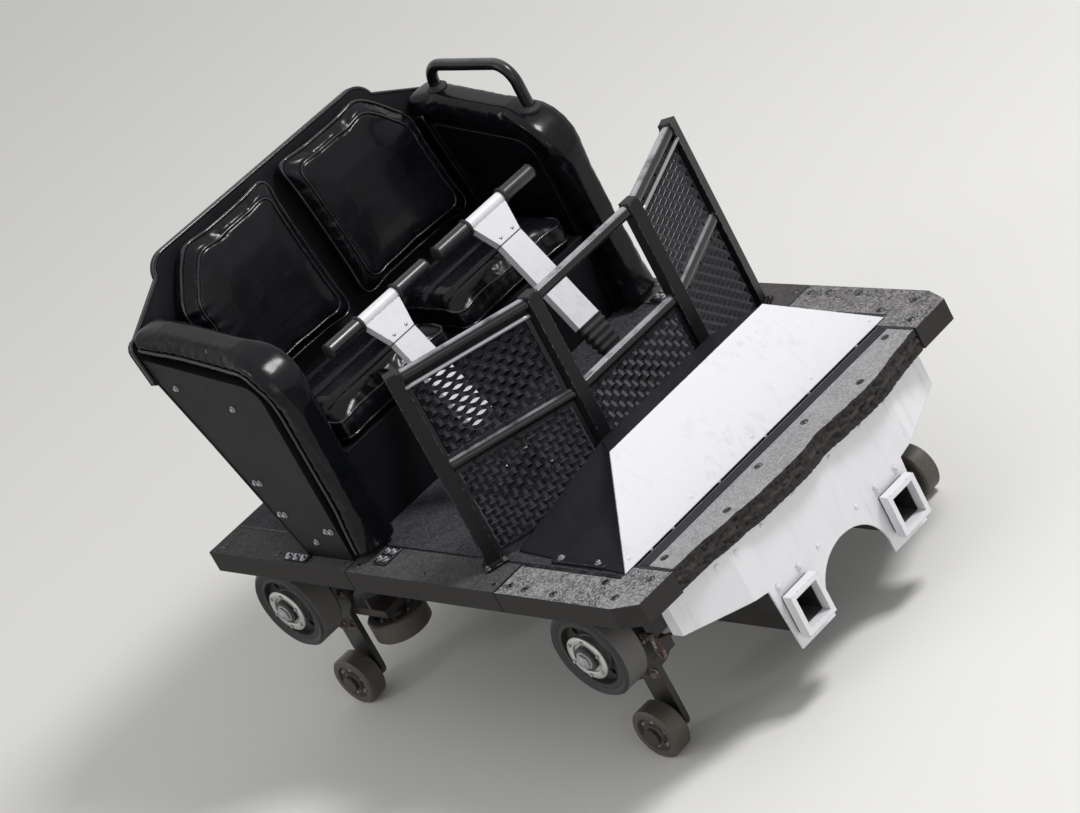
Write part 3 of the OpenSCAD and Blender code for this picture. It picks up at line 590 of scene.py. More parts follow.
def powder_coat(name, colour, top_highlight=0.0, gloss=(0.28, 0.5), edge=0.002):
    """Black powder coat on steel, worn by hands and shoes: satin black, bare along its edges, with a painted
    highlight of pale metal colour along its tops.

    Gloss is its least and most roughness, and edge the width of its worn edges."""
    tree, shader, place = blank(name, 0.4)
    normal = softened(tree, edge)
    broken = patches(tree, place, 11, 0.5, 0.62, Detail=7, Roughness=0.72)
    chip = put(tree, "Math", {0: rim_of(tree, normal), 1: broken}, operation="MULTIPLY")
    # Painted highlight: faces that look upwards take the pale metal colour in cloudy patches, standing for light
    # along the tops
    top_highlight_mask = put(tree, "MapRange", {"Value": upwards(tree), "From Min": 0.70, "From Max": 0.92, "To Max": top_highlight})
    cloud = put(tree, "TexNoise", sized(place, 60, Detail=5, Roughness=0.6))
    patch = put(tree, "MapRange", {"Value": cloud, "From Min": 0.26, "From Max": 0.52})
    lightened = put(tree, "Math", {0: top_highlight_mask, 1: patch}, operation="MULTIPLY")
    # Metal colour where the coat is chipped at its edges (real wear) and where the top highlight is painted
    chips_and_top_highlight = put(tree, "Math", {0: chip, 1: lightened}, operation="MAXIMUM")
    tone = put(tree, "Mix", {0: cloud, 6: shade(colour, 0.7), 7: shade(colour, 1.5)}, **COLOURS)
    whole = put(tree, "Mix", {0: chips_and_top_highlight, 6: tone, 7: shade("worn")}, **COLOURS)
    metal = put(tree, "MapRange", {"Value": chips_and_top_highlight, "To Max": 0.5})
    rough = put(tree, "MapRange", {"Value": cloud, "To Min": gloss[0], "To Max": gloss[1]})
    peel = put(tree, "TexNoise", sized(place, 3, Detail=2))
    bump = put(tree, "Bump", {"Height": peel, "Strength": 0.2, "Distance": 0.0004, "Normal": normal})
    feed(shader, {"Base Color": whole, "Metallic": metal, "Roughness": rough, "Normal": bump,
                  "Specular IOR Level": 0.42 if top_highlight else 0.24})


def chassis_paint(name):
    """Thick black paint on welded steel, with road grease, dust on top and rust at the edges."""
    tree, shader, place = blank(name, 0.55)
    cloud = put(tree, "TexNoise", sized(place, 70, Detail=7, Roughness=0.68))
    spread = put(tree, "MapRange", {"Value": cloud, "From Min": 0.35, "From Max": 0.68})
    body = put(tree, "Mix", {0: spread, 6: shade("chassis", 0.6), 7: shade("chassis", 1.6)}, **COLOURS)
    normal = softened(tree, 0.0035)
    fleck = put(tree, "TexNoise", sized(place, 16, Detail=8, Roughness=0.75))
    more = put(tree, "Math", {0: rim_of(tree, normal), 1: 0.14}, operation="MULTIPLY")
    near_edge = put(tree, "Math", {0: fleck, 1: more}, operation="ADD")
    rusty = put(tree, "MapRange", {"Value": near_edge, "From Min": 0.6, "From Max": 0.72})
    with_rust = put(tree, "Mix", {0: rusty, 6: body, 7: shade("rust", 0.75)}, **COLOURS)
    lying = put(tree, "MapRange", {"Value": upwards(tree), "From Min": 0.6, "From Max": 1.0, "To Max": 0.45})
    settled = put(tree, "Math", {0: lying, 1: cloud}, operation="MULTIPLY")
    dusty = put(tree, "Mix", {0: settled, 6: with_rust, 7: shade("road_dust")}, **COLOURS)
    gloss = put(tree, "MapRange", {"Value": rusty, "To Min": 0.42, "To Max": 0.85})
    bump = put(tree, "Bump", {"Height": fleck, "Strength": 0.35, "Distance": 0.001, "Normal": normal})
    feed(shader, {"Base Color": dusty, "Roughness": gloss, "Normal": bump})


def cast_hub(name, axle_x):
    """Cast aluminium: bare with lathe marks on the turned boss, black with grease and brake dust on web and rim."""
    tree, shader, place = blank(name, 0.42, 0.85)
    radius = from_axle(tree, place, axle_x)
    web = put(tree, "MapRange", {"Value": radius, "From Min": BOSS_R, "From Max": BOSS_R + 0.005, "To Max": 0.93})
    smear = patches(tree, place, 18, 0.5, 0.7, 0.55, Detail=6, Roughness=0.7)
    dirt = put(tree, "Math", {0: web, 1: smear}, operation="MAXIMUM")
    whole = put(tree, "Mix", {0: dirt, 6: shade("hub"), 7: shade("grease")}, **COLOURS)
    gloss = put(tree, "MapRange", {"Value": dirt, "To Min": 0.3, "To Max": 0.6})
    groove = put(tree, "Math", {0: radius, 1: per_mm(1.2)}, operation="MULTIPLY")
    lathe = put(tree, "TexNoise", {"W": groove, "Scale": 1.0, "Detail": 2}, noise_dimensions="1D")
    normal = softened(tree, 0.002)
    bump = put(tree, "Bump", {"Height": lathe, "Strength": 0.3, "Distance": 0.0004, "Normal": normal})
    feed(shader, {"Base Color": whole, "Roughness": gloss, "Normal": bump})


def urethane(name, colour, axle_x=None):
    """Cast polyurethane: a slightly waxy sheen, a band polished grey where it rolls, and fine dirt."""
    tree, shader, place = blank(name, 0.45)
    smear = put(tree, "TexNoise", sized(place, 14, Detail=6, Roughness=0.7))
    body = put(tree, "Mix", {0: smear, 6: shade(colour, 0.65), 7: shade(colour, 1.6)}, **COLOURS)
    if axle_x is not None:
        radius = from_axle(tree, place, axle_x)
        tread = put(tree, "MapRange", {"Value": radius, "From Min": BAND_R, "From Max": BAND_R + 0.0011,
                                       "To Max": 0.75})
        body = put(tree, "Mix", {0: tread, 6: body, 7: shade("tread")}, **COLOURS)
    gloss = put(tree, "MapRange", {"Value": smear, "To Min": 0.32, "To Max": 0.6})
    normal = softened(tree, 0.003)
    bump = put(tree, "Bump", {"Height": smear, "Strength": 0.2, "Distance": 0.0006, "Normal": normal})
    feed(shader, {"Base Color": body, "Roughness": gloss, "Normal": bump})


def ribbed_rubber(name):
    """Extruded nitrile rubber with ribs across it: matt black with soft dust in the grooves."""
    tree, shader, place = blank(name, 0.62)
    rib = put(tree, "TexWave", {"Vector": place, "Scale": per_mm(5) / 6.2832 * 2, "Distortion": 0.2},
              out="Fac", bands_direction="Y", wave_profile="SIN")
    mottle = put(tree, "TexNoise", sized(place, 8, Detail=5))
    body = put(tree, "Mix", {0: mottle, 6: shade("rubber", 0.8), 7: shade("rubber", 1.9)}, **COLOURS)
    bump = put(tree, "Bump", {"Height": rib, "Strength": 0.6, "Distance": 0.0012})
    fine = put(tree, "Bump", {"Height": mottle, "Strength": 0.15, "Distance": 0.0006, "Normal": bump})
    feed(shader, {"Base Color": body, "Normal": fine})


def steel_finish(name, colour, rusty=0.1, roughness=0.36):
    """Rolled or zinc-plated steel: brushed grey metal with dull stains and specks of rust."""
    tree, shader, place = blank(name, roughness, 0.9)
    brushed = put(tree, "Mapping", {"Vector": place, "Scale": (0.2, 1, 1)})
    brush = put(tree, "TexNoise", sized(brushed, 2, Detail=3))
    spot = patches(tree, place, 19, 0.68 - rusty, 0.78 - rusty, Detail=7, Roughness=0.7)
    tone = put(tree, "Mix", {0: brush, 6: shade(colour, 0.75), 7: shade(colour, 1.1)}, **COLOURS)
    whole = put(tree, "Mix", {0: spot, 6: tone, 7: shade("rust")}, **COLOURS)
    metal = put(tree, "MapRange", {"Value": spot, "To Min": 0.9, "To Max": 0.0})
    gloss = put(tree, "MapRange", {"Value": spot, "To Min": roughness, "To Max": 0.85})
    normal = softened(tree, 0.0015)
    bump = put(tree, "Bump", {"Height": brush, "Strength": 0.1, "Distance": 0.0004, "Normal": normal})
    feed(shader, {"Base Color": whole, "Metallic": metal, "Roughness": gloss, "Normal": bump})


def floor_paint(name):
    """Matt floor paint of the stage, even and pale."""
    _, shader, _ = blank(name, 0.9)
    feed(shader, {"Base Color": (*bpy.context.scene.car_stage.floor, 1), "Specular IOR Level": 0.1})


# Each finish: the record's slot that it belongs to, what makes it, and its values
FINISHES = {
    "upholstery_vinyl": ("black_vinyl", upholstery_vinyl, "vinyl"),
    "piping_vinyl": ("black_vinyl", upholstery_vinyl, "piping", 0.9, 0),
    "grip_vinyl": ("grip_rubber", upholstery_vinyl, "piping", 1.0, 0, 0.26),
    "side_panel_abs": ("charcoal_shell", moulded_plastic, "panel"),
    "hood_abs": ("black_tube", moulded_plastic, "hood"),
    # Pad grit is darkened behind the pad joint as painted shade
    "pad_grit": ("grit_pad", grit_coat, "grit_pale", "grit_dark", PAD_JOINT - 0.001),
    "step_grit": ("grit_pad", grit_coat, "grit_pale", "step_dark", None, True),
    # The floor plate's grit is darkened as painted shade
    "floor_grit": ("floor_plate", grit_coat, "floor_pale", "floor_dark"),
    "white_enamel": ("white_paint", white_enamel),
    "lap_bar_enamel": ("white_paint", white_enamel, True),
    # Tube and rail coats get a painted highlight of pale metal along their tops, at 0.85 and 0.12 of full strength
    "tube_powder_coat": ("black_tube", powder_coat, "coat", 0.85, (0.14, 0.32)),
    "rail_powder_coat": ("black_tube", powder_coat, "coat", 0.12, (0.18, 0.34)),
    "post_powder_coat": ("black_tube", powder_coat, "coat"),
    "mesh_powder_coat": ("black_mesh", powder_coat, "mesh", 0.0, (0.28, 0.5), 0.001),
    "chassis_paint": ("chassis_steel", chassis_paint),
    "cast_hub_front": ("hub_aluminium", cast_hub, FRONT_X),
    "cast_hub_rear": ("hub_aluminium", cast_hub, REAR_X),
    "tyre_urethane_front": ("tyre_urethane", urethane, "tyre", FRONT_X),
    "tyre_urethane_rear": ("tyre_urethane", urethane, "tyre", REAR_X),
    "small_wheel_urethane": ("small_wheel", urethane, "small"),
    "ribbed_rubber": ("grip_rubber", ribbed_rubber),
    "bare_steel": ("bare_steel", steel_finish, "steel"),
    "zinc_plate": ("bare_steel", steel_finish, "zinc", 0.04),
    "rusty_steel": ("bare_steel", steel_finish, "steel", 0.26, 0.5),
    "floor_paint": (None, floor_paint),
}


def finish(name):
    """The named finish; it is made the first time that a piece asks for it."""
    if name not in bpy.data.materials:
        _, make, *values = FINISHES[name]
        make(name, *values)
    return bpy.data.materials[name]


# Finish of each CAD node that stays, by the start of its name
NODE_FINISHES = {
    ("frame_rails", "cross_members", "deck_risers", "deck_bearers", "axle_", "carriers_", "rear_coupling"):
        "chassis_paint",
    ("tyre_f",): "tyre_urethane_front",
    ("tyre_r",): "tyre_urethane_rear",
    ("hub_f",): "cast_hub_front",
    ("hub_r",): "cast_hub_rear",
    ("guide_wheel_", "upstop_wheel_"): "small_wheel_urethane",
    ("deck",): "floor_grit",
    ("edge_pads", "front_step"): "pad_grit",
    ("nose_plate", "fascia", "tube_ends"): "white_enamel",
    ("lap_bar_",): "lap_bar_enamel",
    ("nose_sides",): "hood_abs",
    ("guard_posts", "bar_mounts"): "post_powder_coat",
    ("guard_tubes",): "tube_powder_coat",
    ("grab_rail",): "rail_powder_coat",
    ("guard_mesh",): "mesh_powder_coat",
    ("seat_base", "seat_shell", "side_panels"): "side_panel_abs",
    ("seat_cushions", "back_cushions", "side_bolsters"): "upholstery_vinyl",
    ("bar_grips_",): "grip_vinyl",
    ("brake_fin",): "bare_steel",
}


# Padded forms


def baked(piece):
    """Gives a piece the mesh that its modifiers make, and takes the modifiers off."""
    graph = bpy.context.evaluated_depsgraph_get()
    mesh = bpy.data.meshes.new_from_object(piece.evaluated_get(graph))
    piece.modifiers.clear()
    old, piece.data = piece.data, mesh
    bpy.data.meshes.remove(old)


def calmed(piece, rounds):
    """Adds a modifier that smooths a piece that many times."""
    calm = piece.modifiers.new("calm", "SMOOTH")
    calm.factor, calm.iterations = 0.5, rounds


def positions(mesh, attribute="co"):
    """A mesh's points, or their normals, as an (n, 3) array."""
    got = np.zeros(len(mesh.vertices) * 3, np.float32)
    mesh.vertices.foreach_get(attribute, got)
    return got.reshape(-1, 3).astype(float)


def stuffed(name, part, keep_in):
    """A closed form remeshed evenly, swollen as cloth under pressure, held to its cap and subdivided once.

    keep_in takes and returns an (n, 3) array, and holds the form off what it rests on."""
    setting = bpy.context.scene.car_padding
    piece = linked(name, mesh_of(name, *part))
    even = piece.modifiers.new("even", "REMESH")
    even.mode = "VOXEL"
    even.voxel_size = setting.voxel
    calmed(piece, 6)
    baked(piece)
    start = positions(piece.data)
    cloth = piece.modifiers.new("swell", "CLOTH")
    cloth.settings.use_pressure = True
    cloth.settings.uniform_pressure_force = setting.pressure
    cloth.settings.effector_weights.gravity = 0
    cloth.settings.quality = 5
    cloth.settings.tension_stiffness = cloth.settings.compression_stiffness = 12
    cloth.settings.bending_stiffness = 0.6
    cloth.point_cache.frame_start, cloth.point_cache.frame_end = 1, setting.frames
    for number in range(1, setting.frames + 1):
        bpy.context.scene.frame_set(number)
    graph = bpy.context.evaluated_depsgraph_get()
    moved = positions(piece.evaluated_get(graph).data) - start
    piece.modifiers.clear()
    far = np.linalg.norm(moved, axis=1, keepdims=True)
    moved *= np.minimum(1, setting.cap / np.maximum(far, 1e-9))
    move_points(piece.data, start + moved)
    bpy.context.scene.frame_set(1)
    calmed(piece, 2)
    round_off = piece.modifiers.new("round", "SUBSURF")
    round_off.levels = round_off.render_levels = 1
    baked(piece)
    move_points(piece.data, keep_in(positions(piece.data)))
    return piece


def nearest_on(points, line):
    """Distance from each point to a line of close points, and how far along the line that is."""
    run = np.concatenate([[0], np.cumsum(np.linalg.norm(np.diff(line, axis=0), axis=1))])
    gap = np.empty(len(points))
    at = np.empty(len(points))
    for part in np.array_split(np.arange(len(points)), max(1, len(points) * len(line) // 4000000 + 1)):
        d = np.linalg.norm(points[part][:, None] - line[None], axis=2)
        k = d.argmin(1)
        gap[part], at[part] = d[np.arange(len(part)), k], run[k]
    return gap, at


def sewn(piece, lines, depth, width, gathers=()):
    """Pulls seams in and raises gathers: h = -depth exp(-(d/width)^2) + height cos(2 pi s/pitch) exp(-d/reach).

    d is the distance from the line and s the length along it. Gathers wander a little and fade at the line's ends."""
    points, normals = positions(piece.data), positions(piece.data, "normal")
    lift = np.zeros(len(points))
    for line in lines:
        gap, _ = nearest_on(points, evenly(line, 0.004))
        lift -= depth * np.exp(-(gap / width) ** 2)
    for line, height, pitch, reach, fade in gathers:
        gap, at = nearest_on(points, evenly(line, 0.004))
        total = at.max()
        ends = np.clip(np.minimum(at, total - at) / fade, 0, 1)
        wander = pitch * 0.25 * np.sin(at / (pitch * 2.3))
        lift += height * ends * np.cos(2 * np.pi * (at + wander) / pitch) * np.exp(-gap / reach)
    move_points(piece.data, points + normals * lift[:, None])


def snapped(piece, line, proud, ring=False):
    """A line laid on a piece's surface, standing a little proud of it, and smoothed along its length."""
    tree = BVHTree.FromObject(piece, bpy.context.evaluated_depsgraph_get())
    line = evenly(line, 0.006, ring)
    hits = [tree.find_nearest(Vector(p)) for p in line]
    laid = np.array([h[0] + h[1] * proud for h in hits])
    for _ in range(3):
        before = np.roll(laid, 1, 0) if ring else np.concatenate([laid[:1], laid[:-1]])
        after = np.roll(laid, -1, 0) if ring else np.concatenate([laid[1:], laid[-1:]])
        laid = (before + 2 * laid + after) / 4
    return laid


def other_side(piece, name):
    """The same padded form mirrored to the right of the car."""
    mesh = piece.data.copy()
    mesh.name = name
    move_points(mesh, positions(mesh) * [1, -1, 1])
    turn_outwards(mesh)
    return linked(name, mesh)


def piping_on(pad, line, proud, share=1.0, ring=True):
    """Piping along a line on a pad: a share of the usual radius, its middle that many radii above the vinyl."""
    radius = bpy.context.scene.car_padding.piping
    return tube(snapped(pad, line, radius * proud, ring), radius * share, 8, ring)


def dress_pads(left, node, piping_name, *piping):
    """Makes a padded form and its mirror image stand for a node, with their vinyl and their piping."""
    for pad in (left, other_side(left, left.name.replace("left", "right"))):
        pad.data.materials.clear()
        pad.data.materials.append(finish("upholstery_vinyl"))
        pad.data.polygons.foreach_set("use_smooth", np.full(len(pad.data.polygons), True))
        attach(pad, "car")
        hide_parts(node)
    add_piece(piping_name, mirrored(together(*piping)), "piping_vinyl")


def pillow(outline, low, high, crown, boxy=0.32):
    """Grid of a closed cushion, its columns round the outline: k = cos(q)^boxy draws the outline's points in.

    Height is the middle + half the thickness sin(q)^boxy, plus crown (1 - k^2) on the upper side."""
    outline = np.asarray(outline, float)
    centre = outline.mean(0)
    q = np.linspace(-np.pi / 2, np.pi / 2, 41)[1:-1]
    k = np.cos(q) ** boxy
    plan = centre + (outline - centre)[None] * k[:, None, None]
    height = (low + high) / 2 + (high - low) / 2 * rounder(np.sin(q), boxy) + np.where(q > 0, crown * (1 - k ** 2), 0)
    return np.concatenate([plan, np.broadcast_to(height[:, None, None], plan.shape[:2] + (1,))], -1)


def rounded(corners, radius, pull=0.005):
    """A closed outline with its corners cut to arcs, and its sides drawn in by pull between the corners."""
    corners = np.asarray(corners, float)
    before = np.roll(corners, 1, 0) - corners
    after = np.roll(corners, -1, 0) - corners
    near = np.minimum(radius, 0.45 * np.minimum(np.linalg.norm(before, axis=1), np.linalg.norm(after, axis=1)))
    a = corners + before / np.linalg.norm(before, axis=1, keepdims=True) * near[:, None]
    b = corners + after / np.linalg.norm(after, axis=1, keepdims=True) * near[:, None]
    t = np.linspace(0, 1, 9)[None, :, None]
    curve = ((1 - t) ** 2 * a[:, None] + 2 * t * (1 - t) * corners[:, None] + t ** 2 * b[:, None]).reshape(-1, 2)
    line = evenly(curve, 0.004, ring=True)
    gap = np.linalg.norm(line[:, None] - corners[None], axis=2).min(1)
    centre = line.mean(0)
    inward = (centre - line) / np.linalg.norm(centre - line, axis=1, keepdims=True)
    return line + inward * (pull * (1 - np.cos(np.pi * np.clip(gap / 0.10, 0, 1))) / 2)[:, None]


# Operators


class CAR_OT_stage(bpy.types.Operator):
    """Adds the floor, the lamps, the sky and the camera"""
    bl_idname = "car.stage"
    bl_label = "Stage"

    def execute(self, context):
        scene, setting = context.scene, context.scene.car_stage
        mesh = bpy.data.meshes.new("floor")
        mesh.from_pydata(rect_path((0, 0, 0), X_WAY, Y_WAY, 30, 30).tolist(), [], [(2, 3, 0, 1)])
        mesh.materials.append(finish("floor_paint"))
        linked("floor", mesh)

        world = bpy.data.worlds.new("sky")
        scene.world = world
        world.use_nodes = True
        tree = world.node_tree
        tree.nodes.clear()
        path = tree.nodes.new("ShaderNodeLightPath")
        seen = path.outputs["Is Camera Ray"]
        for ray in ("Is Glossy Ray", "Is Transmission Ray"):
            seen = put(tree, "Math", {0: seen, 1: path.outputs[ray]}, operation="MAXIMUM")
        strength = put(tree, "MapRange", {"Value": seen, "To Min": setting.sky, "To Max": setting.backdrop})
        light = put(tree, "Background", {"Color": (1, 1, 1, 1), "Strength": strength})
        put(tree, "OutputWorld", {"Surface": light})

        aim = Vector(setting.aim)
        lamps = (("key", (4.1, 3.2, 8.0), (2.0, 2.0), setting.key),
                 ("front", (6.5, -2.6, 3.4), (2.2, 1.6), setting.key * 0.045),
                 ("side", (-3.2, -6.2, 4.2), (1.5, 1.2), setting.key * 0.07))
        for name, place, area, power in lamps:
            data = bpy.data.lights.new(name, "AREA")
            data.shape = "RECTANGLE"
            data.size, data.size_y = area
            data.energy = power
            lamp = linked(name, data)
            lamp.location = place
            lamp.rotation_euler = (aim - Vector(place)).to_track_quat("-Z", "Y").to_euler()

        data = bpy.data.cameras.new("camera")
        data.lens, data.sensor_width, data.sensor_fit = setting.lens, 36, "HORIZONTAL"
        data.clip_end = 200
        camera = linked("camera", data)
        forward = (aim - Vector(setting.eye)).normalized()
        right = forward.cross(Vector(setting.top)).normalized()
        up = right.cross(forward)
        camera.matrix_world = Matrix((right, up, -forward)).transposed().to_4x4()
        camera.location = setting.eye
        scene.camera = camera
        scene.view_settings.view_transform = "Standard"
        return {"FINISHED"}


class CAR_OT_finishes(bpy.types.Operator):
    """Gives each CAD part that stays its finish"""
    bl_idname = "car.finishes"
    bl_label = "Finishes of the parts"

    def execute(self, context):
        for name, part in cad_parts.items():
            kinds = [kind for starts, kind in NODE_FINISHES.items() if name.startswith(starts)]
            if not kinds:
                raise RuntimeError(f"no finish is named for {name}")
            for slot in part.material_slots:
                slot.material = finish(kinds[0])
        return {"FINISHED"}


def bolster_rows():
    """Middle line of a bolster in X and Z, with its outward direction and the length so far.

    It runs down from the backrest at 9 degrees, turns through an arc and drops to the floor."""
    fall, drop, r, root_x = math.radians(9), math.radians(81), 0.094, -0.648
    c = np.array([BOLSTER[1].x - 0.130, 1.028])
    knee = c + r * np.array([math.cos(drop), math.sin(drop)])
    root = np.array([root_x, knee[1] + (knee[0] - root_x) * math.tan(fall)])
    a = np.linspace(drop, 0, 40)
    arc = c + r * np.stack([np.cos(a), np.sin(a)], 1)
    foot = np.array([c[0] + r, FLOOR_Z + 0.002])
    line = evenly(np.concatenate([[root], arc, [foot]]), 0.006)
    run = np.linalg.norm(line - np.roll(line, 1, 0), axis=1)
    run[0] = 0
    turn = np.where(line[:, 0] < knee[0], drop, np.where(line[:, 1] < c[1], 0,
                    np.arctan2(line[:, 1] - c[1], line[:, 0] - c[0])))
    return line, np.stack([np.cos(turn), np.sin(turn)], 1), np.cumsum(run)


def on_bolster(t, y, low, high):
    """A line along the left bolster, t out from its middle line and at y, between two shares of its length."""
    line, out, run = bolster_rows()
    keep = (run >= low * run[-1]) & (run <= high * run[-1])
    flat = line[keep] + out[keep] * t
    return np.stack([flat[:, 0], np.full(keep.sum(), y), flat[:, 1]], 1)


class CAR_OT_side_bolsters(bpy.types.Operator):
    """Makes the two padded side bolsters, with their seams, piping and creases"""
    bl_idname = "car.side_bolsters"
    bl_label = "Side bolsters"

    def execute(self, context):
        setting = context.scene.car_padding
        line, out, run = bolster_rows()
        end = 0.020
        q = np.linspace(0, np.pi / 2, 8)[1:-1]
        at = np.concatenate([end * (1 - np.cos(q)), np.linspace(end, run[-1] - end, 170),
                             run[-1] - end * (1 - np.cos(q[::-1]))])
        draw = np.sqrt(np.clip(1 - (1 - np.clip(np.minimum(at, run[-1] - at) / end, 0, 1)) ** 2, 0, 1))
        mid = np.stack([np.interp(at, run, line[:, k]) for k in (0, 1)], 1)
        way = np.stack([np.interp(at, run, out[:, k]) for k in (0, 1)], 1)
        a = around(56)
        # Section in mm: |y / 57.5|^n + |t / 31|^n = 1, n being 3.2 outside and 5 inside, fuller at the front corner
        bend = np.exp(-((at - 0.46) / 0.10) ** 2)
        square = np.where(np.cos(a) > 0, 2 / 3.2, 2 / 5)
        y = rounder(np.cos(a), square) * 0.0575
        t = rounder(np.sin(a), square) * 0.0310
        full = (1 + 0.10 * bend)[:, None]
        t = t[None] * draw[:, None] * np.where(t > 0, full, 1)
        y = np.broadcast_to(y, t.shape) * draw[:, None] * (1 + 0.03 * bend[:, None])
        lean = np.clip(1 - at / 0.12, 0, 1)[:, None]
        grid = np.stack([mid[:, :1] + way[:, :1] * t - t * math.tan(math.radians(19)) * lean,
                         (BOLSTER[1].y + INNER_WALL) / 2 + y, mid[:, 1:] + way[:, 1:] * t], -1)

        def keep_in(p):
            p[:, 2] = np.maximum(p[:, 2], FLOOR_Z + 0.0015)
            p[:, 1] = np.clip(p[:, 1], INNER_WALL - 0.0025, BOLSTER[1].y + 0.012)
            return p

        left = stuffed("side_bolster_left", closed_skin(grid), keep_in)
        outer = on_bolster(-0.004, BOLSTER[1].y, 0.02, 0.985)
        upper = on_bolster(0.034, BOLSTER[1].y - 0.020, 0.30, 0.60)
        second = on_bolster(0.016, BOLSTER[1].y + 0.004, 0.26, 0.56)
        third = on_bolster(0.026, BOLSTER[1].y - 0.004, 0.36, 0.66)
        cross = on_bolster(0.040, 0.519, 0.60, 0.98)
        sewn(left, [outer], setting.seam, 0.006,
             [(outer, setting.gather * 0.4, 0.030, 0.026, 0.10), (cross, setting.gather * 0.3, 0.060, 0.05, 0.12)])
        sewn(left, [second, third, upper], setting.seam * 0.5, 0.0065)
        dress_pads(left, "side_bolsters", "bolster_piping", piping_on(left, outer, 0.75, ring=False))

        # Vinyl-covered board that lines the side panel, flush with the bolster's inner side
        arch = on_bolster(-0.024, 0, 0.10, 1.0)[:, [0, 2]]
        arch = arch[arch[:, 1] > 0.80]
        outline = evenly(np.concatenate([arch, [(-0.500, 0.800)]]), 0.006, True)
        grid = pillow(outline, -INNER_WALL - 0.0090, -INNER_WALL - 0.0002, 0.0014, 0.2)
        board = np.stack([grid[..., 0], -grid[..., 2], grid[..., 1]], -1)
        add_piece("side_linings", mirrored(closed_skin(board)), "upholstery_vinyl")
        return {"FINISHED"}


class CAR_OT_seat_cushions(bpy.types.Operator):
    """Makes the two seat cushions, with sewn channels and piping round the top"""
    bl_idname = "car.seat_cushions"
    bl_label = "Seat cushions"

    def execute(self, context):
        setting = context.scene.car_padding
        x0, x1 = CUSHION[0].x + 0.006, CUSHION[1].x - 0.006
        y0, y1 = 0.015, CUSHION[1].y - 0.006
        low, high = CUSHION[0].z + 0.001, CUSHION[1].z - 0.006
        outline = rounded([(x0, y0), (x1, y0), (x1, y1), (x0, y1)], 0.045)
        grid = pillow(outline, low, high, 0.012)
        # The front edge falls away like a waterfall
        fall = np.clip((grid[..., 0] - (x1 - 0.09)) / 0.09, 0, 1) ** 2
        grid[..., 2] -= fall * 0.020 * np.clip((grid[..., 2] - low) / (high - low), 0, 1)

        def keep_in(p):
            p[:, 2] = np.clip(p[:, 2], low, CUSHION[1].z + 0.012)
            p[:, 1] = np.clip(p[:, 1], MIDDLE_GAP, INNER_WALL - 0.0015)
            p[:, 0] = np.clip(p[:, 0], CUSHION[0].x, CUSHION[1].x + 0.008)
            return p

        left = stuffed("seat_cushion_left", closed_skin(grid), keep_in)
        top = CUSHION[1].z + 0.004
        channels = [np.stack([np.full(60, x), np.linspace(y0 + 0.03, y1 - 0.03, 60), np.full(60, top)], 1)
                    for x in np.linspace(x0 + 0.075, x1 - 0.075, 3)]
        ring = np.concatenate([outline, np.full((len(outline), 1), high - 0.006)], 1)
        ring = np.concatenate([ring, ring[:1]])
        lower = ring * [1, 1, 0] + [0, 0, low + 0.016]
        sewn(left, [ring, lower], setting.seam * 0.8, 0.006, [(ring, setting.gather * 0.35, 0.036, 0.02, 0.05)])
        for line in channels:
            line[:, 2] = snapped(left, line, 0)[:, 2].mean()
        sewn(left, channels, setting.seam * 1.5, 0.011)
        dress_pads(left, "seat_cushions", "seat_piping", piping_on(left, ring[:-1], 0.5),
                   piping_on(left, lower[:-1], 0.4, 0.8))
        return {"FINISHED"}


def on_backrest(a, b, t):
    """A point of the backrest: a across, b up the recline and t forward of the shell's front face."""
    foot, thick = np.array([BACK[1].x, 0, CUSHION[1].z + 0.002]), 0.075
    a, b, t = (v[..., None] for v in np.broadcast_arrays(np.asarray(a, float), b, t))
    return foot + a * Y_WAY + b * BACK_UP + (t - thick) * BACK_AHEAD


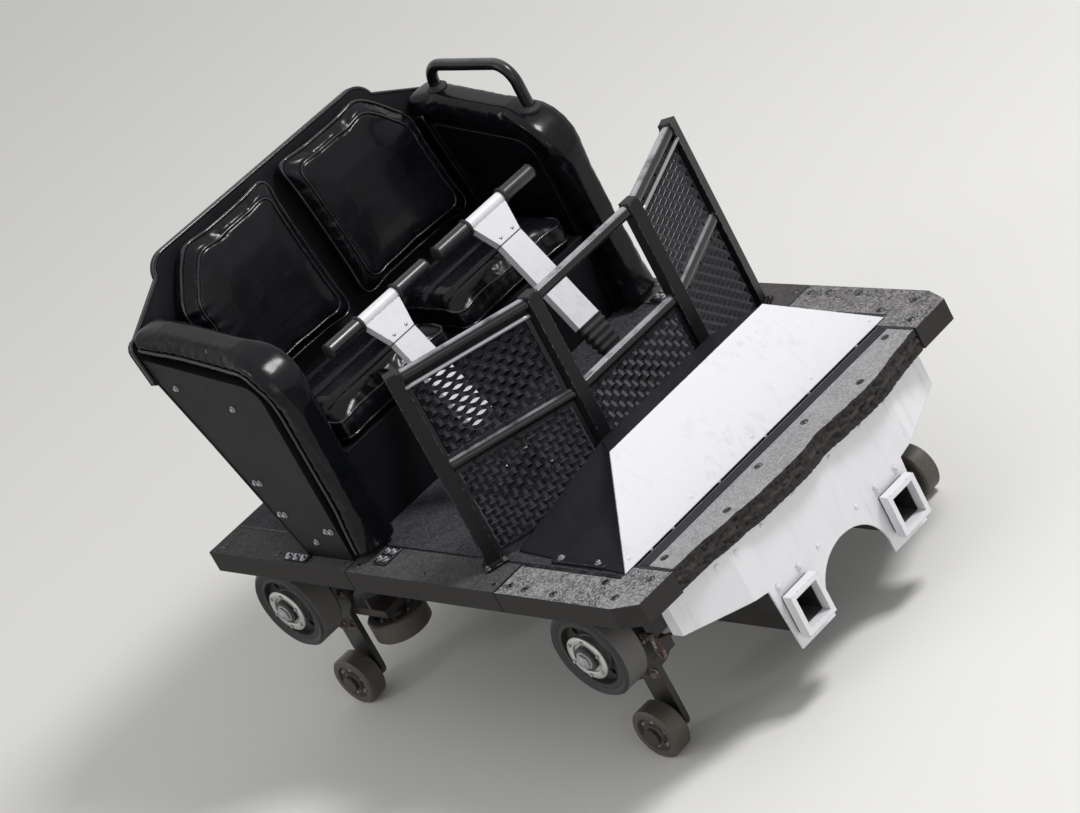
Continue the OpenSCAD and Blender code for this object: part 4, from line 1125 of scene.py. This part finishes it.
class CAR_OT_back_cushions(bpy.types.Operator):
    """Makes the two back cushions, with a piped border and gathers at the outer side"""
    bl_idname = "car.back_cushions"
    bl_label = "Back cushions"

    def execute(self, context):
        setting = context.scene.car_padding
        tall = (BACK[1].z - CUSHION[1].z - 0.002) / math.cos(RECLINE)
        half, top = BACK[1].y - 0.006, 0.399
        corners = [(0.016, 0.010), (half, 0.010), (half, tall - 0.135), (top - 0.012, tall - 0.062),
                   (top - 0.062, tall - 0.006), (0.016, tall - 0.006)]
        outline = rounded(corners, 0.040)
        part = closed_skin(on_backrest(*np.moveaxis(pillow(outline, 0.003, 0.066, 0.014), -1, 0)))
        back = on_backrest(0, 0, 0.001) @ BACK_AHEAD

        def keep_in(p):
            p += BACK_AHEAD * np.maximum(0, back - p @ BACK_AHEAD)[:, None]
            p[:, 1] = np.clip(p[:, 1], MIDDLE_GAP, INNER_WALL - 0.0005)
            return p

        left = stuffed("back_cushion_left", part, keep_in)
        middle = outline.mean(0)
        drawn = middle + (outline - middle) * [0.80, 0.82]
        edge, panel, rear = (on_backrest(*line.T, t)
                             for line, t in ((outline, 0.058), (drawn, 0.080), (outline, 0.010)))
        b = np.linspace(0.08, tall - 0.10, 60)
        outside = on_backrest(np.interp(b, [0, tall - 0.135, tall - 0.05], [half, half, top]) - 0.022, b, 0.070)
        a = np.linspace(0, np.pi / 2, 20)
        shoulder = on_backrest(top - 0.07 + 0.05 * np.cos(a), tall - 0.075 + 0.05 * np.sin(a), 0.070)
        sewn(left, [np.concatenate([r, r[:1]]) for r in (edge, panel, rear)], setting.seam * 0.9, 0.006,
             [(outside, setting.gather, 0.036, 0.024, 0.05), (shoulder, setting.gather * 0.8, 0.020, 0.022, 0.02)])
        dress_pads(left, "back_cushions", "back_piping", piping_on(left, edge, 0.5), piping_on(left, panel, 0.4, 0.8))
        return {"FINISHED"}


class CAR_OT_grab_rail_collars(bpy.types.Operator):
    """Makes the rubber collars where the grab rail goes into its bolster"""
    bl_idname = "car.grab_rail_collars"
    bl_label = "Grab rail collars"

    def execute(self, context):
        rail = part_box("grab_rail")
        r = (rail[1].y - rail[0].y) / 2
        y = centre_of("grab_rail")[1]
        tree = BVHTree.FromObject(bpy.data.objects["side_bolster_left"], context.evaluated_depsgraph_get())
        hits = [tree.ray_cast(Vector((x, y, 1.3)), Vector((0, 0, -1))) for x in (rail[0].x + r, rail[1].x - r)]
        collar = turned([(r + 0.0004, -0.010), (r + 0.012, -0.010), (r + 0.0125, 0.001), (r + 0.010, 0.004),
                         (r + 0.004, 0.0055), (r + 0.0025, 0.010), (r + 0.0004, 0.011)], 36, True)
        add_piece("grab_rail_collars", copies(collar, [h[0] for h in hits], [(h[1].x * 0.6, 0, 1) for h in hits]),
                  "ribbed_rubber")
        return {"FINISHED"}


def ripple(s, seed):
    """Uneven wave between about -1 and 1: a sum of sines whose lengths and phases come from the seed."""
    source = np.random.default_rng(seed)
    waves = source.uniform(0.012, 0.085, 9)
    phases = source.uniform(0, 2 * np.pi, 9)
    return np.sum([np.sin(2 * np.pi * s / w + p) for w, p in zip(waves, phases)], 0) / 4.2


class CAR_OT_front_step(bpy.types.Operator):
    """Makes the front step with its chewed front edge"""
    bl_idname = "car.front_step"
    bl_label = "Front step"

    def execute(self, context):
        bite = context.scene.car_fittings.ragged
        y, x0, x1 = STEP[1].y, STEP[0].x, STEP[1].x
        low, top = STEP[0].z, STEP[1].z
        # The front edge bows and waves: how far it stands ahead of the plain edge, across the car
        across = np.array([-y, -0.350, -0.300, -0.250, -0.200, -0.100, -0.050, 0, 0.030, 0.055, 0.090, 0.150, 0.200,
                           0.250, 0.300, 0.350, y])
        ahead = np.array([-25, -20, -7, -6, 6, 10, 12, 9, 4, -4, 4, 8, 12, 13, 8, -5, -21]) / 1000
        fine = np.linspace(-y, y, 240)
        bow = np.interp(fine, across, ahead)
        bow = np.convolve(np.pad(bow, 4, mode="edge"), np.ones(9) / 9, mode="valid")
        plan = evenly([(x0, -y), *zip(x1 + bow, fine), (x0, y)], 0.004, True)
        edge_x = x1 + np.interp(plan[:, 1], fine, bow)
        front = np.clip((plan[:, 0] - (edge_x - 0.012)) / 0.010, 0, 1)
        levels = np.concatenate([[low], np.linspace(low + 0.002, top - 0.002, 13), [top]])
        share = (levels - low) / (top - low)
        # Each level is bitten into by a wave of its own, deepest halfway down
        rows = []
        for number, (z, h) in enumerate(zip(levels, share)):
            wave = 0.65 * ripple(plan[:, 1], 11 + number // 2) + 0.3 * ripple(plan[:, 1], 40 + number)
            depth = bite * np.clip(0.35 + wave, 0, 1.3) * (0.35 + 0.9 * np.sin(np.pi * h) ** 0.7)
            edge = 0.0012 if number in (0, len(levels) - 1) else 0
            rows.append(np.stack([plan[:, 0] - (depth + edge) * front, plan[:, 1] * (1 - edge / y),
                                  np.full(len(plan), z)], 1))
        grid = np.array(rows)
        grid[:, :, 2] += 0.0012 * ripple(plan[:, 1], 5)[None] * front[None] * np.sin(np.pi * share)[:, None]

        # Under and top face are drawn in to the step's middle
        line = np.array([(x0 + x1) / 2 - 0.01, 0])
        under, rim, inner = (np.concatenate([line + (plan - line) * k, np.full((len(plan), 1), z)], 1)[None]
                             for k, z in ((0.9, low), (0.95, top), (0.5, top)))
        step = add_piece("front_step_board", closed_skin(np.concatenate([under, grid, rim, inner])), "step_grit",
                         smooth=False)
        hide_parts("front_step")
        return {"FINISHED"}


class CAR_OT_floor_fittings(bpy.types.Operator):
    """Adds the edging, the sunk bolts of pads and step, and the flat bars beside the floor"""
    bl_idname = "car.floor_fittings"
    bl_label = "Floor fittings"

    def execute(self, context):
        big = context.scene.car_fittings.bolt
        z, side = FLOOR_Z, DECK[1].y
        # Dark joints: along the deck's edge, beside the step, across the pad and between pad and deck
        joints = [slab((x0, y0, z - 0.001), (x1, y1, z + proud), 0.0004) for x0, x1, y0, y1, proud in (
            (DECK[0].x + 0.004, DECK[1].x - 0.004, side - 0.003, side + 0.003, 0.0012),
            (0.728, STEP[1].x - 0.026, 0.4585, 0.4695, 0.0010),
            (PAD_JOINT - 0.004, PAD_JOINT + 0.004, side + 0.004, PADS[1].y - 0.002, 0.0010),
            (PAD_JOINT + 0.006, DECK[1].x, side + 0.002, side + 0.009, 0.0011))]
        add_piece("floor_edging", mirrored(together(*joints)), "post_powder_coat", smooth=False)

        step = [(0.796, 0.425), (0.858, 0.252), (0.808, 0.091), (0.802, -0.080), (0.842, -0.242), (0.796, -0.425)]
        pads = [(x, s * y) for s in (1, -1) for x, y in (
            (-0.745, 0.585), (-0.745, 0.530), (-0.520, 0.585), (-0.232, 0.585), (-0.180, 0.585), (0.080, 0.585),
            (0.345, 0.585), (0.400, 0.585), (0.459, 0.590), (0.565, 0.592), (0.767, 0.575), (0.690, 0.530),
            (0.820, 0.500))]
        spots = [(x, y, z) for x, y in step + pads]
        # A flat dark ring round each sunk bolt: painted shade that stands for its countersunk recess
        recess_shade_ring = turned([(0.0082, -0.001), (0.0112, -0.001), (0.0110, 0.0008), (0.0088, 0.0010)], 20, True)
        add_piece("sunk_washers", copies(recess_shade_ring, spots), "chassis_paint")
        add_piece("floor_bolts", copies(dome_part(0.0086, 0.0008), spots), "post_powder_coat")

        bar = slab((0.462, side - 0.040, z), (0.652, side - 0.012, z + 0.010), 0.002)
        heads = copies(bolt_part(big * 0.7, 0.006), [(x, side - 0.026, z + 0.010) for x in (0.490, 0.624)])
        add_piece("floor_flat_bars", mirrored(bar), "post_powder_coat", smooth=False)
        add_piece("flat_bar_bolts", mirrored(heads), "zinc_plate", smooth=False)

        # Feet that hold the side panels to pad and deck
        foot, top = BOLSTER[1].y, z + 0.006
        feet = together(slab((-0.135, side + 0.006, z), (-0.085, side + 0.072, top)),
                        slab((-0.470, foot - 0.004, z), (-0.380, foot + 0.022, top)))
        spots = [(x, side + y, top) for y in (0.024, 0.054) for x in (-0.121, -0.099)]
        spots += [(x, foot + 0.011, top) for x in (-0.455, -0.425, -0.395)]
        add_piece("panel_feet", mirrored(feet), "post_powder_coat", smooth=False)
        add_piece("panel_foot_bolts", mirrored(copies(bolt_part(0.014, 0.008), spots)), "zinc_plate", smooth=False)
        return {"FINISHED"}


class CAR_OT_nose_fittings(bpy.types.Operator):
    """Adds the seam strip and bolts of the nose plate, and the bolts of fascia and tube frames"""
    bl_idname = "car.nose_fittings"
    bl_label = "Nose fittings"

    def execute(self, context):
        small = context.scene.car_fittings.small_bolt
        z, width, step_x = FLOOR_Z, STEP[1].y, STEP[0].x
        strip = slab((DECK[1].x - 0.0005, -width, z - 0.012), (step_x + 0.0005, width, z - 0.005), 0.001)
        bar = slab((step_x + 0.004, 0.003 - width, z - 0.001), (step_x + 0.036, width - 0.003, z + 0.0022), 0.001)
        seam = [((DECK[1].x + step_x) / 2, y, z - 0.005) for y in (-0.405, -0.325, -0.150, 0.026, 0.195, 0.383)]
        add_piece("seam_strip", strip, "post_powder_coat", smooth=False)
        add_piece("step_rear_bar", bar, "hood_abs", smooth=False)
        add_piece("seam_bolts", copies(bolt_part(small * 0.8, 0.009, 1.2), seam), "zinc_plate", smooth=False)

        # Rivets in two rows along the sloping plate, lifted to its upper face
        low, high = np.array([PLATE[1].x, 0, PLATE[0].z]), np.array([PLATE[0].x, 0, PLATE[1].z])
        facing = np.array([high[2] - low[2], 0, low[0] - high[0]])
        facing /= np.linalg.norm(facing)
        lift = np.max((np.array([[PLATE[1].x, 0, z], high]) - low) @ facing) + 0.0002
        spots = [low + (high - low) * share + Y_WAY * y + facing * lift
                 for share, half, count in ((0.10, 0.462, 5), (0.88, 0.296, 4))
                 for y in np.linspace(-half, half, count)]
        add_piece("plate_rivets", copies(dome_part(small * 0.5, 0.0028), spots, facing), "white_enamel")

        x, upper, lower = FASCIA[1].x, 0.468, 0.318
        rivet = dome_part(small * 0.5, 0.0035)
        flat = [(x, s * y, z) for s in (1, -1)
                for y, z in ((0.070, upper), (0.190, upper), (0.288, upper), (0.075, lower))]
        back, bend = math.radians(18), 0.305
        wing = [(x - (y - bend) * math.tan(back), y, upper) for y in (0.345, 0.455)]
        wing = copies(rivet, wing, (math.cos(back), math.sin(back), 0))
        add_piece("fascia_rivets", together(copies(rivet, flat, X_WAY), mirrored(wing)), "white_enamel")
        rows = [(x + 0.0002, s * y, lower) for s in (1, -1) for y in (0.150, 0.228)]
        add_piece("frame_bolts", copies(bolt_part(small, 0.006), rows, X_WAY), "white_enamel", smooth=False)
        return {"FINISHED"}


def expanded_metal(corner, along, ahead, width, height):
    """A panel of expanded metal in a flat border, both as closed forms.

    A strand zigzags between two levels, z = level at every other crossing and one level higher between them. Its
    section, 12 by 3 mm, leans back by 40 degrees, and is set off by half its width where it meets its neighbour."""
    border, strand, thick, lean, bond = 0.010, 0.0120, 0.0030, math.radians(40), 0.0040
    w, h = width - 2 * border, height - 2 * border
    columns, levels = 2 * round(w / 0.038), 2 * round(h / 0.034)
    x = np.clip((np.arange(columns + 1) * w / columns)[:, None] + [-bond, bond], 0, w).ravel()[1:-1]
    rise, back = np.array([math.cos(lean), -math.sin(lean)]), np.array([math.sin(lean), math.cos(lean)])
    section = rect_path((0, 0), rise, back, strand / 2, thick / 2)
    parts = []
    for level in range(levels):
        peak = np.repeat((np.arange(columns + 1) + level) % 2, 2)[1:-1]
        middle = np.stack([(level + peak) * h / levels, 0 * x], 1) + (1 - 2 * peak)[:, None] * strand / 2 * rise
        flat = middle[:, None] + section[None]
        parts.append(closed_skin(corner + Z_WAY * border + along * border + x[:, None, None] * along
                                 + flat[..., :1] * Z_WAY + flat[..., 1:] * ahead))
    outer = np.array([[0, 0], [width, 0], [width, height], [0, height]], float)
    inner = np.clip(outer, border, [width - border, height - border])
    ring = np.stack([corner + p[:, :1] * along + p[:, 1:] * Z_WAY + s * 0.002 * ahead
                     for p, s in ((outer, 1), (inner, 1), (inner, -1), (outer, -1))], 1)
    return together(*parts, skin_of(ring, True))


class CAR_OT_guard_mesh(bpy.types.Operator):
    """Makes the guard's panels of expanded metal"""
    bl_idname = "car.guard_mesh"
    bl_label = "Guard mesh"

    def execute(self, context):
        low, top = (corner.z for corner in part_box("guard_mesh"))
        start, wide, half = 0.0224, 0.3296, INNER_POST[1] - POST_HALF
        wings = [expanded_metal(INNER_POST + WING * start + Z_WAY * a, WING, AHEAD, wide, b - a)
                 for a, b in ((low, MID_Z - TUBE_R), (MID_Z + TUBE_R, top))]
        centre = expanded_metal(np.array([INNER_POST[0], -half, low]), Y_WAY, X_WAY, 2 * half, MID_Z - TUBE_R - low)
        piece = add_piece("guard_expanded_metal", together(mirrored(together(*wings)), centre), "mesh_powder_coat",
                          smooth=False)
        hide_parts("guard_mesh")
        return {"FINISHED"}


class CAR_OT_guard_fittings(bpy.types.Operator):
    """Adds caps, weld beads, foot bolts, mesh rivets and the wings' rods to the guard"""
    bl_idname = "car.guard_fittings"
    bl_label = "Guard fittings"

    def execute(self, context):
        weld = context.scene.car_fittings.weld
        caps, beads, bolts = [], [], []
        for post, u, v in ((INNER_POST, X_WAY, Y_WAY), (OUTER_POST, AHEAD, WING)):
            caps.append(closed_skin(np.array([
                rect_path(post + Z_WAY * (POSTS[1].z + h), u, v, POST_HALF * k, POST_HALF * k)
                for h, k in ((0, 1.0), (0.003, 1.0), (0.004, 0.88))])))
            half = POST_HALF + 0.001
            beads.append(bead(rect_path(post + Z_WAY * (FLOOR_Z + 0.0095), u, v, half, half), weld))
            bolts += rect_path(post + Z_WAY * (FLOOR_Z + 0.008), u, v, 0.0235, 0.0235).tolist()
        # Welds round the tubes, where they meet the inner side of each post
        hoop = np.stack([np.cos(around(24)), np.sin(around(24))], 1) * (TUBE_R + 0.001)
        for z in (TOP_Z, MID_Z):
            for post, inward, side in ((INNER_POST, -Y_WAY, X_WAY), (OUTER_POST, -WING, AHEAD)):
                face = post + Z_WAY * z + inward * (POST_HALF + 0.001)
                beads.append(bead(face + hoop[:, :1] * side + hoop[:, 1:] * Z_WAY, weld * 0.8))
        # Rivets along the tubes that hold the mesh
        rivet, proud, under = dome_part(0.0055, 0.003), 0.0022, MID_Z - TUBE_R - 0.006
        on_wing = [INNER_POST + WING * math.hypot(SWEPT, SPREAD) * share + Z_WAY * z + AHEAD * proud
                   for z in (TOP_Z - TUBE_R - 0.005, MID_Z + TUBE_R + 0.006, under) for share in (0.2, 0.5, 0.8)]
        between = [(INNER_POST[0] + proud, y, under) for y in (0.05, 0.13)]
        rivets = together(copies(rivet, on_wing, AHEAD), copies(rivet, between, X_WAY))
        # Rod that holds the upper edge of each wing's mesh, just below the top tube
        rod = INNER_POST + Z_WAY * (TOP_Z - 0.026) + AHEAD * 0.014
        rod = tube(evenly([rod + WING * 0.019, rod + WING * 0.355], 0.02), 0.0055, 12)

        add_piece("wing_rods", mirrored(rod), "zinc_plate")
        add_piece("post_caps", mirrored(together(*caps)), "post_powder_coat", smooth=False)
        add_piece("guard_welds", mirrored(together(*beads)), "post_powder_coat")
        add_piece("mesh_rivets", mirrored(rivets), "post_powder_coat")
        heads = copies(bolt_part(0.010, 0.007, 1.3), bolts)
        add_piece("post_foot_bolts", mirrored(heads), "rusty_steel", smooth=False)
        return {"FINISHED"}


class CAR_OT_wheel_fittings(bpy.types.Operator):
    """Adds bearing rings, bolts and centre nuts to the wheels"""
    bl_idname = "car.wheel_fittings"
    bl_label = "Wheel fittings"

    def execute(self, context):
        a = np.arange(6) * np.pi / 3 + 0.26
        upright, level = np.stack([np.cos(a), 0 * a, np.sin(a)], 1), np.stack([np.cos(a), np.sin(a), 0 * a], 1)
        ring = turned([(0.0405, -0.006), (0.0590, -0.006), (0.0610, -0.003), (0.0610, 0.003), (0.0585, 0.005),
                       (0.0425, 0.005), (0.0405, 0.003)], 48, True)
        small = bolt_part(0.010, 0.006, 1.3)
        # Radii of the bolt circles on the ring, the guide wheel and the up-stop wheel
        ring_bolts, guide_bolts, stop_bolts = 0.0512, 0.0440, 0.0385
        for name, x, side in CORNERS:
            out, outer = Y_WAY * side, 1 if side > 0 else 0
            wheel, guide, stop = ("road_wheel_" + name, "guide_wheel_" + name, "upstop_wheel_" + name)
            centre = np.array([x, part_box("hub_" + name)[outer].y, AXLE_Z])
            spots = centre + out * 0.005 + upright * ring_bolts
            nut = together(copies(bolt_part(0.042, 0.010, 1.18), centre + out * 0.011, out),
                           copies(dome_part(0.011, 0.005), centre + out * 0.020, out))
            add_piece("bearing_ring_" + name, copies(ring, centre, out), "bare_steel", body=wheel)
            add_piece("ring_bolts_" + name, copies(bolt_part(0.0095, 0.005, 1.25), spots, out), "zinc_plate",
                      smooth=False, body=wheel)
            add_piece("axle_nut_" + name, nut, "zinc_plate", smooth=False)

            for way, tag, z in ((1, "top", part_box(guide)[1].z - 0.010), (-1, "low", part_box(guide)[0].z + 0.010)):
                spots = centre_of(guide) * [1, 1, 0] + Z_WAY * z + level * guide_bolts
                add_piece(f"guide_bolts_{tag}_{name}", copies(small, spots, Z_WAY * way), "zinc_plate", smooth=False,
                          body=guide)
            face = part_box(stop)[outer].y - side * 0.010
            spots = centre_of(stop) * [1, 0, 1] + Y_WAY * face + upright * stop_bolts
            add_piece("upstop_bolts_" + name, copies(small, spots, out), "zinc_plate", smooth=False, body=stop)
        return {"FINISHED"}


class CAR_OT_chassis_fittings(bpy.types.Operator):
    """Adds weld beads and bolts to frame and carriers, and the shackle beside the front wheel"""
    bl_idname = "car.chassis_fittings"
    bl_label = "Chassis fittings"

    def execute(self, context):
        weld, big = context.scene.car_fittings.weld, context.scene.car_fittings.bolt
        rail_in, rails_top = 0.144, RAILS[1].z
        riser_y = (RAILS[1].y + rail_in) / 2
        beads, bolts, dowels = [], [], []
        for x in (REAR_X - 0.118, REAR_X + 0.140, REAR_X + 0.590, FRONT_X - 0.230, FRONT_X + 0.140):
            for z in (rails_top + 0.001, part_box("deck_risers")[1].z - 0.001):
                beads.append(bead(rect_path((x, riser_y, z), X_WAY, Y_WAY, 0.028, 0.028), weld))
        plate_in, plate_out = 0.440, 0.456
        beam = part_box("axle_front")
        mid = (beam[0].z + beam[1].z) / 2
        for x in (FRONT_X, REAR_X):
            beads.append(bead(rect_path((x, plate_in - 0.001, mid), X_WAY, Z_WAY, 0.050, 0.055), weld))
            beads += [bead([(x + s * 0.050, y, rails_top + 0.001) for y in (0.150, 0.228)], weld, ring=False)
                      for s in (-1, 1)]
            bolts += [(x + a * 0.048, plate_out, mid + b * 0.036) for a in (-1, 1) for b in (-1, 1)]
            bolts += [(x + a * 0.022, plate_out, AXLE_Z - 0.150) for a in (-1, 1)]
            dowels.append((x, plate_out, beam[1].z - 0.012))
        heads = together(copies(bolt_part(big, 0.011), bolts, Y_WAY), copies(dome_part(0.007, 0.006), dowels, Y_WAY))
        add_piece("chassis_welds", mirrored(together(*beads)), "chassis_paint")
        add_piece("carrier_bolts", mirrored(heads), "rusty_steel", smooth=False)

        # Shackle: an oval link that hangs from a lug
        a = around(40)
        oval = np.stack([0.013 * np.cos(a), 0 * a, 0.030 * rounder(np.sin(a), 0.8)], 1)
        oval += [FRONT_X + 0.098, -0.462, 0.300]
        lug = slab((FRONT_X + 0.046, -0.467, 0.318), (FRONT_X + 0.104, -0.457, 0.340), 0.003)
        add_piece("front_shackle", together(tube(evenly(oval, 0.004, True), 0.0048, 10, True), lug), "rusty_steel")

        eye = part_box("rear_coupling")
        washer = turned([(0.018, 0), (0.030, 0), (0.031, 0.002), (0.029, 0.004), (0.018, 0.004)], 32, True)
        washers = [copies(washer, (eye[0].x + 0.040, 0, RAILS[0].z + z), Z_WAY * way)
                   for z, way in ((0.072, 1), (0.032, -1))]
        spots = [(eye[1].x - 0.012, s * 0.060, z) for s in (-1, 1) for z in (0.205, 0.271)]
        add_piece("coupling_washers", together(*washers), "bare_steel")
        add_piece("coupling_bolts", copies(bolt_part(big, 0.011), spots, -X_WAY), "rusty_steel", smooth=False)
        return {"FINISHED"}


class CAR_OT_lap_bar_fittings(bpy.types.Operator):
    """Adds the rubber boots, seam rings, end caps and pivot nuts of the lap bars"""
    bl_idname = "car.lap_bar_fittings"
    bl_label = "Lap bar fittings"

    def execute(self, context):
        # Heights up the stem, from the pivot
        seam_up, screws_up, handle_up = 0.411, 0.426, 0.502
        for name, side in (("left", 1), ("right", -1)):
            body = "lap_bar_" + name
            pivot = PIVOT * [1, side, 1]
            # Boot: a rounded rectangle carried up the stem, swelling at each of its five folds
            start, end, folds = 0.030, 0.128, 5
            up = np.linspace(start, end, 45)
            fold = 1 + 0.07 * np.cos((up - start) / (end - start) * folds * 2 * np.pi)
            fold[0] = fold[-1] = 0.93
            x, y = rounder(np.cos(around(40)), 0.55), rounder(np.sin(around(40)), 0.55)
            half_x = np.interp(up, [start, end], [0.0180, 0.0195]) * fold
            half_y = np.interp(up, [start, 0.100, end], [0.0300, 0.0385, 0.0440]) * fold
            boot = (pivot + up[:, None, None] * BAR_UP + (half_x[:, None] * x)[..., None] * BAR_AHEAD
                    + (half_y[:, None] * y)[..., None] * Y_WAY)
            add_piece("boot_" + name, closed_skin(boot), "ribbed_rubber", body=body)

            ring = rect_path(pivot + BAR_UP * seam_up, BAR_AHEAD, Y_WAY, 0.0135, 0.0385)
            seam = tube(evenly(ring, 0.003, True), 0.0014, 6, True)
            add_piece("stem_seam_" + name, seam, "post_powder_coat", body=body)
            # End caps of the two grips, and the collars beside the stem
            handle = pivot + BAR_UP * handle_up
            cap = turned([(0.0150, -0.0005), (0.0212, 0), (0.0218, 0.003), (0.019, 0.006), (0.010, 0.0075)], 28)
            collar = turned([(0.0172, -0.004), (0.0235, -0.004), (0.0242, 0.0), (0.0235, 0.004), (0.0172, 0.004)], 32,
                            True)
            rings = [copies(part, handle + Y_WAY * s * out, Y_WAY * s)
                     for part, out in ((cap, 0.176), (collar, 0.068)) for s in (-1, 1)]
            add_piece("grip_rings_" + name, together(*rings), "ribbed_rubber", body=body)
            screw = dome_part(0.0045, 0.0025)
            row = [pivot + BAR_UP * screws_up + Y_WAY * y for y in (-0.022, 0.022)]
            screws = [copies(screw, row + BAR_AHEAD * 0.013 * way, BAR_AHEAD * way) for way in (1, -1)]
            add_piece("stem_screws_" + name, together(*screws), "zinc_plate", body=body)

            # The bracket stays on the floor: nuts on the pivot's ends, foot bolts and welds along its cheeks
            nuts = [copies(bolt_part(0.034, 0.012, 1.35), pivot + Y_WAY * s * 0.0475, Y_WAY * s) for s in (-1, 1)]
            floor = pivot * [1, 1, 0] + Z_WAY * FLOOR_Z
            feet = [floor + [a * 0.045, b * 0.050, 0.010] for a in (-1, 1) for b in (-1, 1)]
            welds = [bead([floor + [a * 0.045, s * 0.044, 0.0105] for a in (-1, 1)], 0.003, ring=False)
                     for s in (-1, 1)]
            add_piece("pivot_nuts_" + name, together(*nuts), "zinc_plate", smooth=False)
            add_piece("bracket_bolts_" + name, copies(bolt_part(0.013, 0.008, 1.3), feet), "zinc_plate", smooth=False)
            add_piece("bracket_welds_" + name, together(*welds), "post_powder_coat")
        return {"FINISHED"}


class CAR_OT_seat_fittings(bpy.types.Operator):
    """Adds trim beads, bolts and stiffening ribs to side panels, seat box and backrest shell"""
    bl_idname = "car.seat_fittings"
    bl_label = "Seat fittings"

    def execute(self, context):
        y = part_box("side_panels")[1].y
        rear = [(-0.6405, y, 1.098), (-0.541, y, 0.890), (-0.394, y, FLOOR_Z + 0.004)]
        add_piece("panel_trim", mirrored(tube(evenly(rear, 0.006), 0.0030, 8)), "side_panel_abs")
        spots = [(x, y, z) for x, z in ((-0.452, 0.775), (-0.432, 0.775), (-0.422, 0.679), (-0.402, 0.679),
                                        (-0.262, 0.640), (-0.242, 0.640), (-0.330, 0.600), (-0.560, 1.060),
                                        (-0.360, 1.010))]
        heads = copies(bolt_part(0.012, 0.006, 1.5), spots, Y_WAY)
        add_piece("panel_bolts", mirrored(heads), "zinc_plate", smooth=False)

        # Closing strip between each back cushion and its side panel, rounded along its front
        b, a = np.linspace(-0.120, 0.285, 30)[:, None], around(20)
        across, ahead = 0.0062 * rounder(np.cos(a), 0.5), 0.046 * rounder(np.sin(a), 0.7)
        strip = on_backrest(INNER_WALL + 0.0005 + across, b, 0.022 + ahead)
        add_piece("back_gussets", mirrored(closed_skin(strip)), "upholstery_vinyl")

        # Piping along the backrest shell's edge, from one lower corner over the top to the other
        a = np.linspace(0, 1, 9) * np.pi / 2
        edge = np.concatenate([[(0.579, 0.205)], np.stack([0.553 + 0.026 * np.cos(a), 0.292 + 0.026 * np.sin(a)], 1),
                               np.stack([0.351 + 0.055 * np.cos(a[1:]), 0.390 + 0.055 * np.sin(a[1:])], 1)])
        edge = evenly(np.concatenate([edge, (edge * [-1, 1])[::-1]]), 0.006)
        add_piece("shell_piping", tube(on_backrest(*edge.T, -0.004), 0.0055, 10), "piping_vinyl")

        # Raised ribs pressed into the back of the backrest shell, and its bolts
        shell_t = -0.0202
        swell = 0.011 * np.sin(np.linspace(0.08, np.pi - 0.08, 60)) ** 0.3
        ribs = [tube(on_backrest(a, np.linspace(0.03, high, 60), shell_t), swell, 12)
                for a, high in ((0.10, 0.36), (0.25, 0.36), (0.38, 0.30))]
        add_piece("shell_ribs", mirrored(together(*ribs)), "side_panel_abs")
        spots = [on_backrest(a, b, shell_t) for a, b in ((0.02, 0.10), (0.02, 0.34), (0.175, 0.06), (0.175, 0.34),
                                                         (0.32, 0.08), (0.43, 0.16), (0.43, 0.26))]
        heads = copies(bolt_part(0.014, 0.008), spots, -BACK_AHEAD)
        add_piece("shell_bolts", mirrored(heads), "zinc_plate", smooth=False)
        return {"FINISHED"}


class CAR_PT_panel(bpy.types.Panel):
    """Lists the car's settings and the steps that make it"""
    bl_label = "Roller coaster car"
    bl_idname = "CAR_PT_panel"
    bl_space_type = "VIEW_3D"
    bl_region_type = "UI"
    bl_category = "Car"

    def draw(self, context):
        for name, group in GROUPS:
            box = self.layout.box()
            for each in group.__annotations__:
                box.prop(getattr(context.scene, name), each)
        for operator in OPERATORS:
            self.layout.operator(operator.bl_idname)


GROUPS = (("car_colours", CarColours), ("car_padding", CarPadding), ("car_fittings", CarFittings),
          ("car_stage", CarStage))
OPERATORS = (CAR_OT_stage, CAR_OT_finishes, CAR_OT_side_bolsters, CAR_OT_seat_cushions, CAR_OT_back_cushions,
             CAR_OT_grab_rail_collars, CAR_OT_front_step, CAR_OT_floor_fittings, CAR_OT_nose_fittings,
             CAR_OT_guard_mesh, CAR_OT_guard_fittings, CAR_OT_wheel_fittings, CAR_OT_chassis_fittings,
             CAR_OT_lap_bar_fittings, CAR_OT_seat_fittings)


def register():
    for name, group in GROUPS:
        bpy.utils.register_class(group)
        setattr(bpy.types.Scene, name, bpy.props.PointerProperty(type=group))
    for each in OPERATORS + (CAR_PT_panel,):
        bpy.utils.register_class(each)


def unregister():
    for each in reversed(OPERATORS + (CAR_PT_panel,)):
        bpy.utils.unregister_class(each)
    for name, group in reversed(GROUPS):
        delattr(bpy.types.Scene, name)
        bpy.utils.unregister_class(group)


def main():
    """Registers the classes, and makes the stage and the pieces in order."""
    register()
    for operator in OPERATORS:
        group, name = operator.bl_idname.split(".")
        getattr(getattr(bpy.ops, group), name)()


if __name__ == "__main__":
    main()
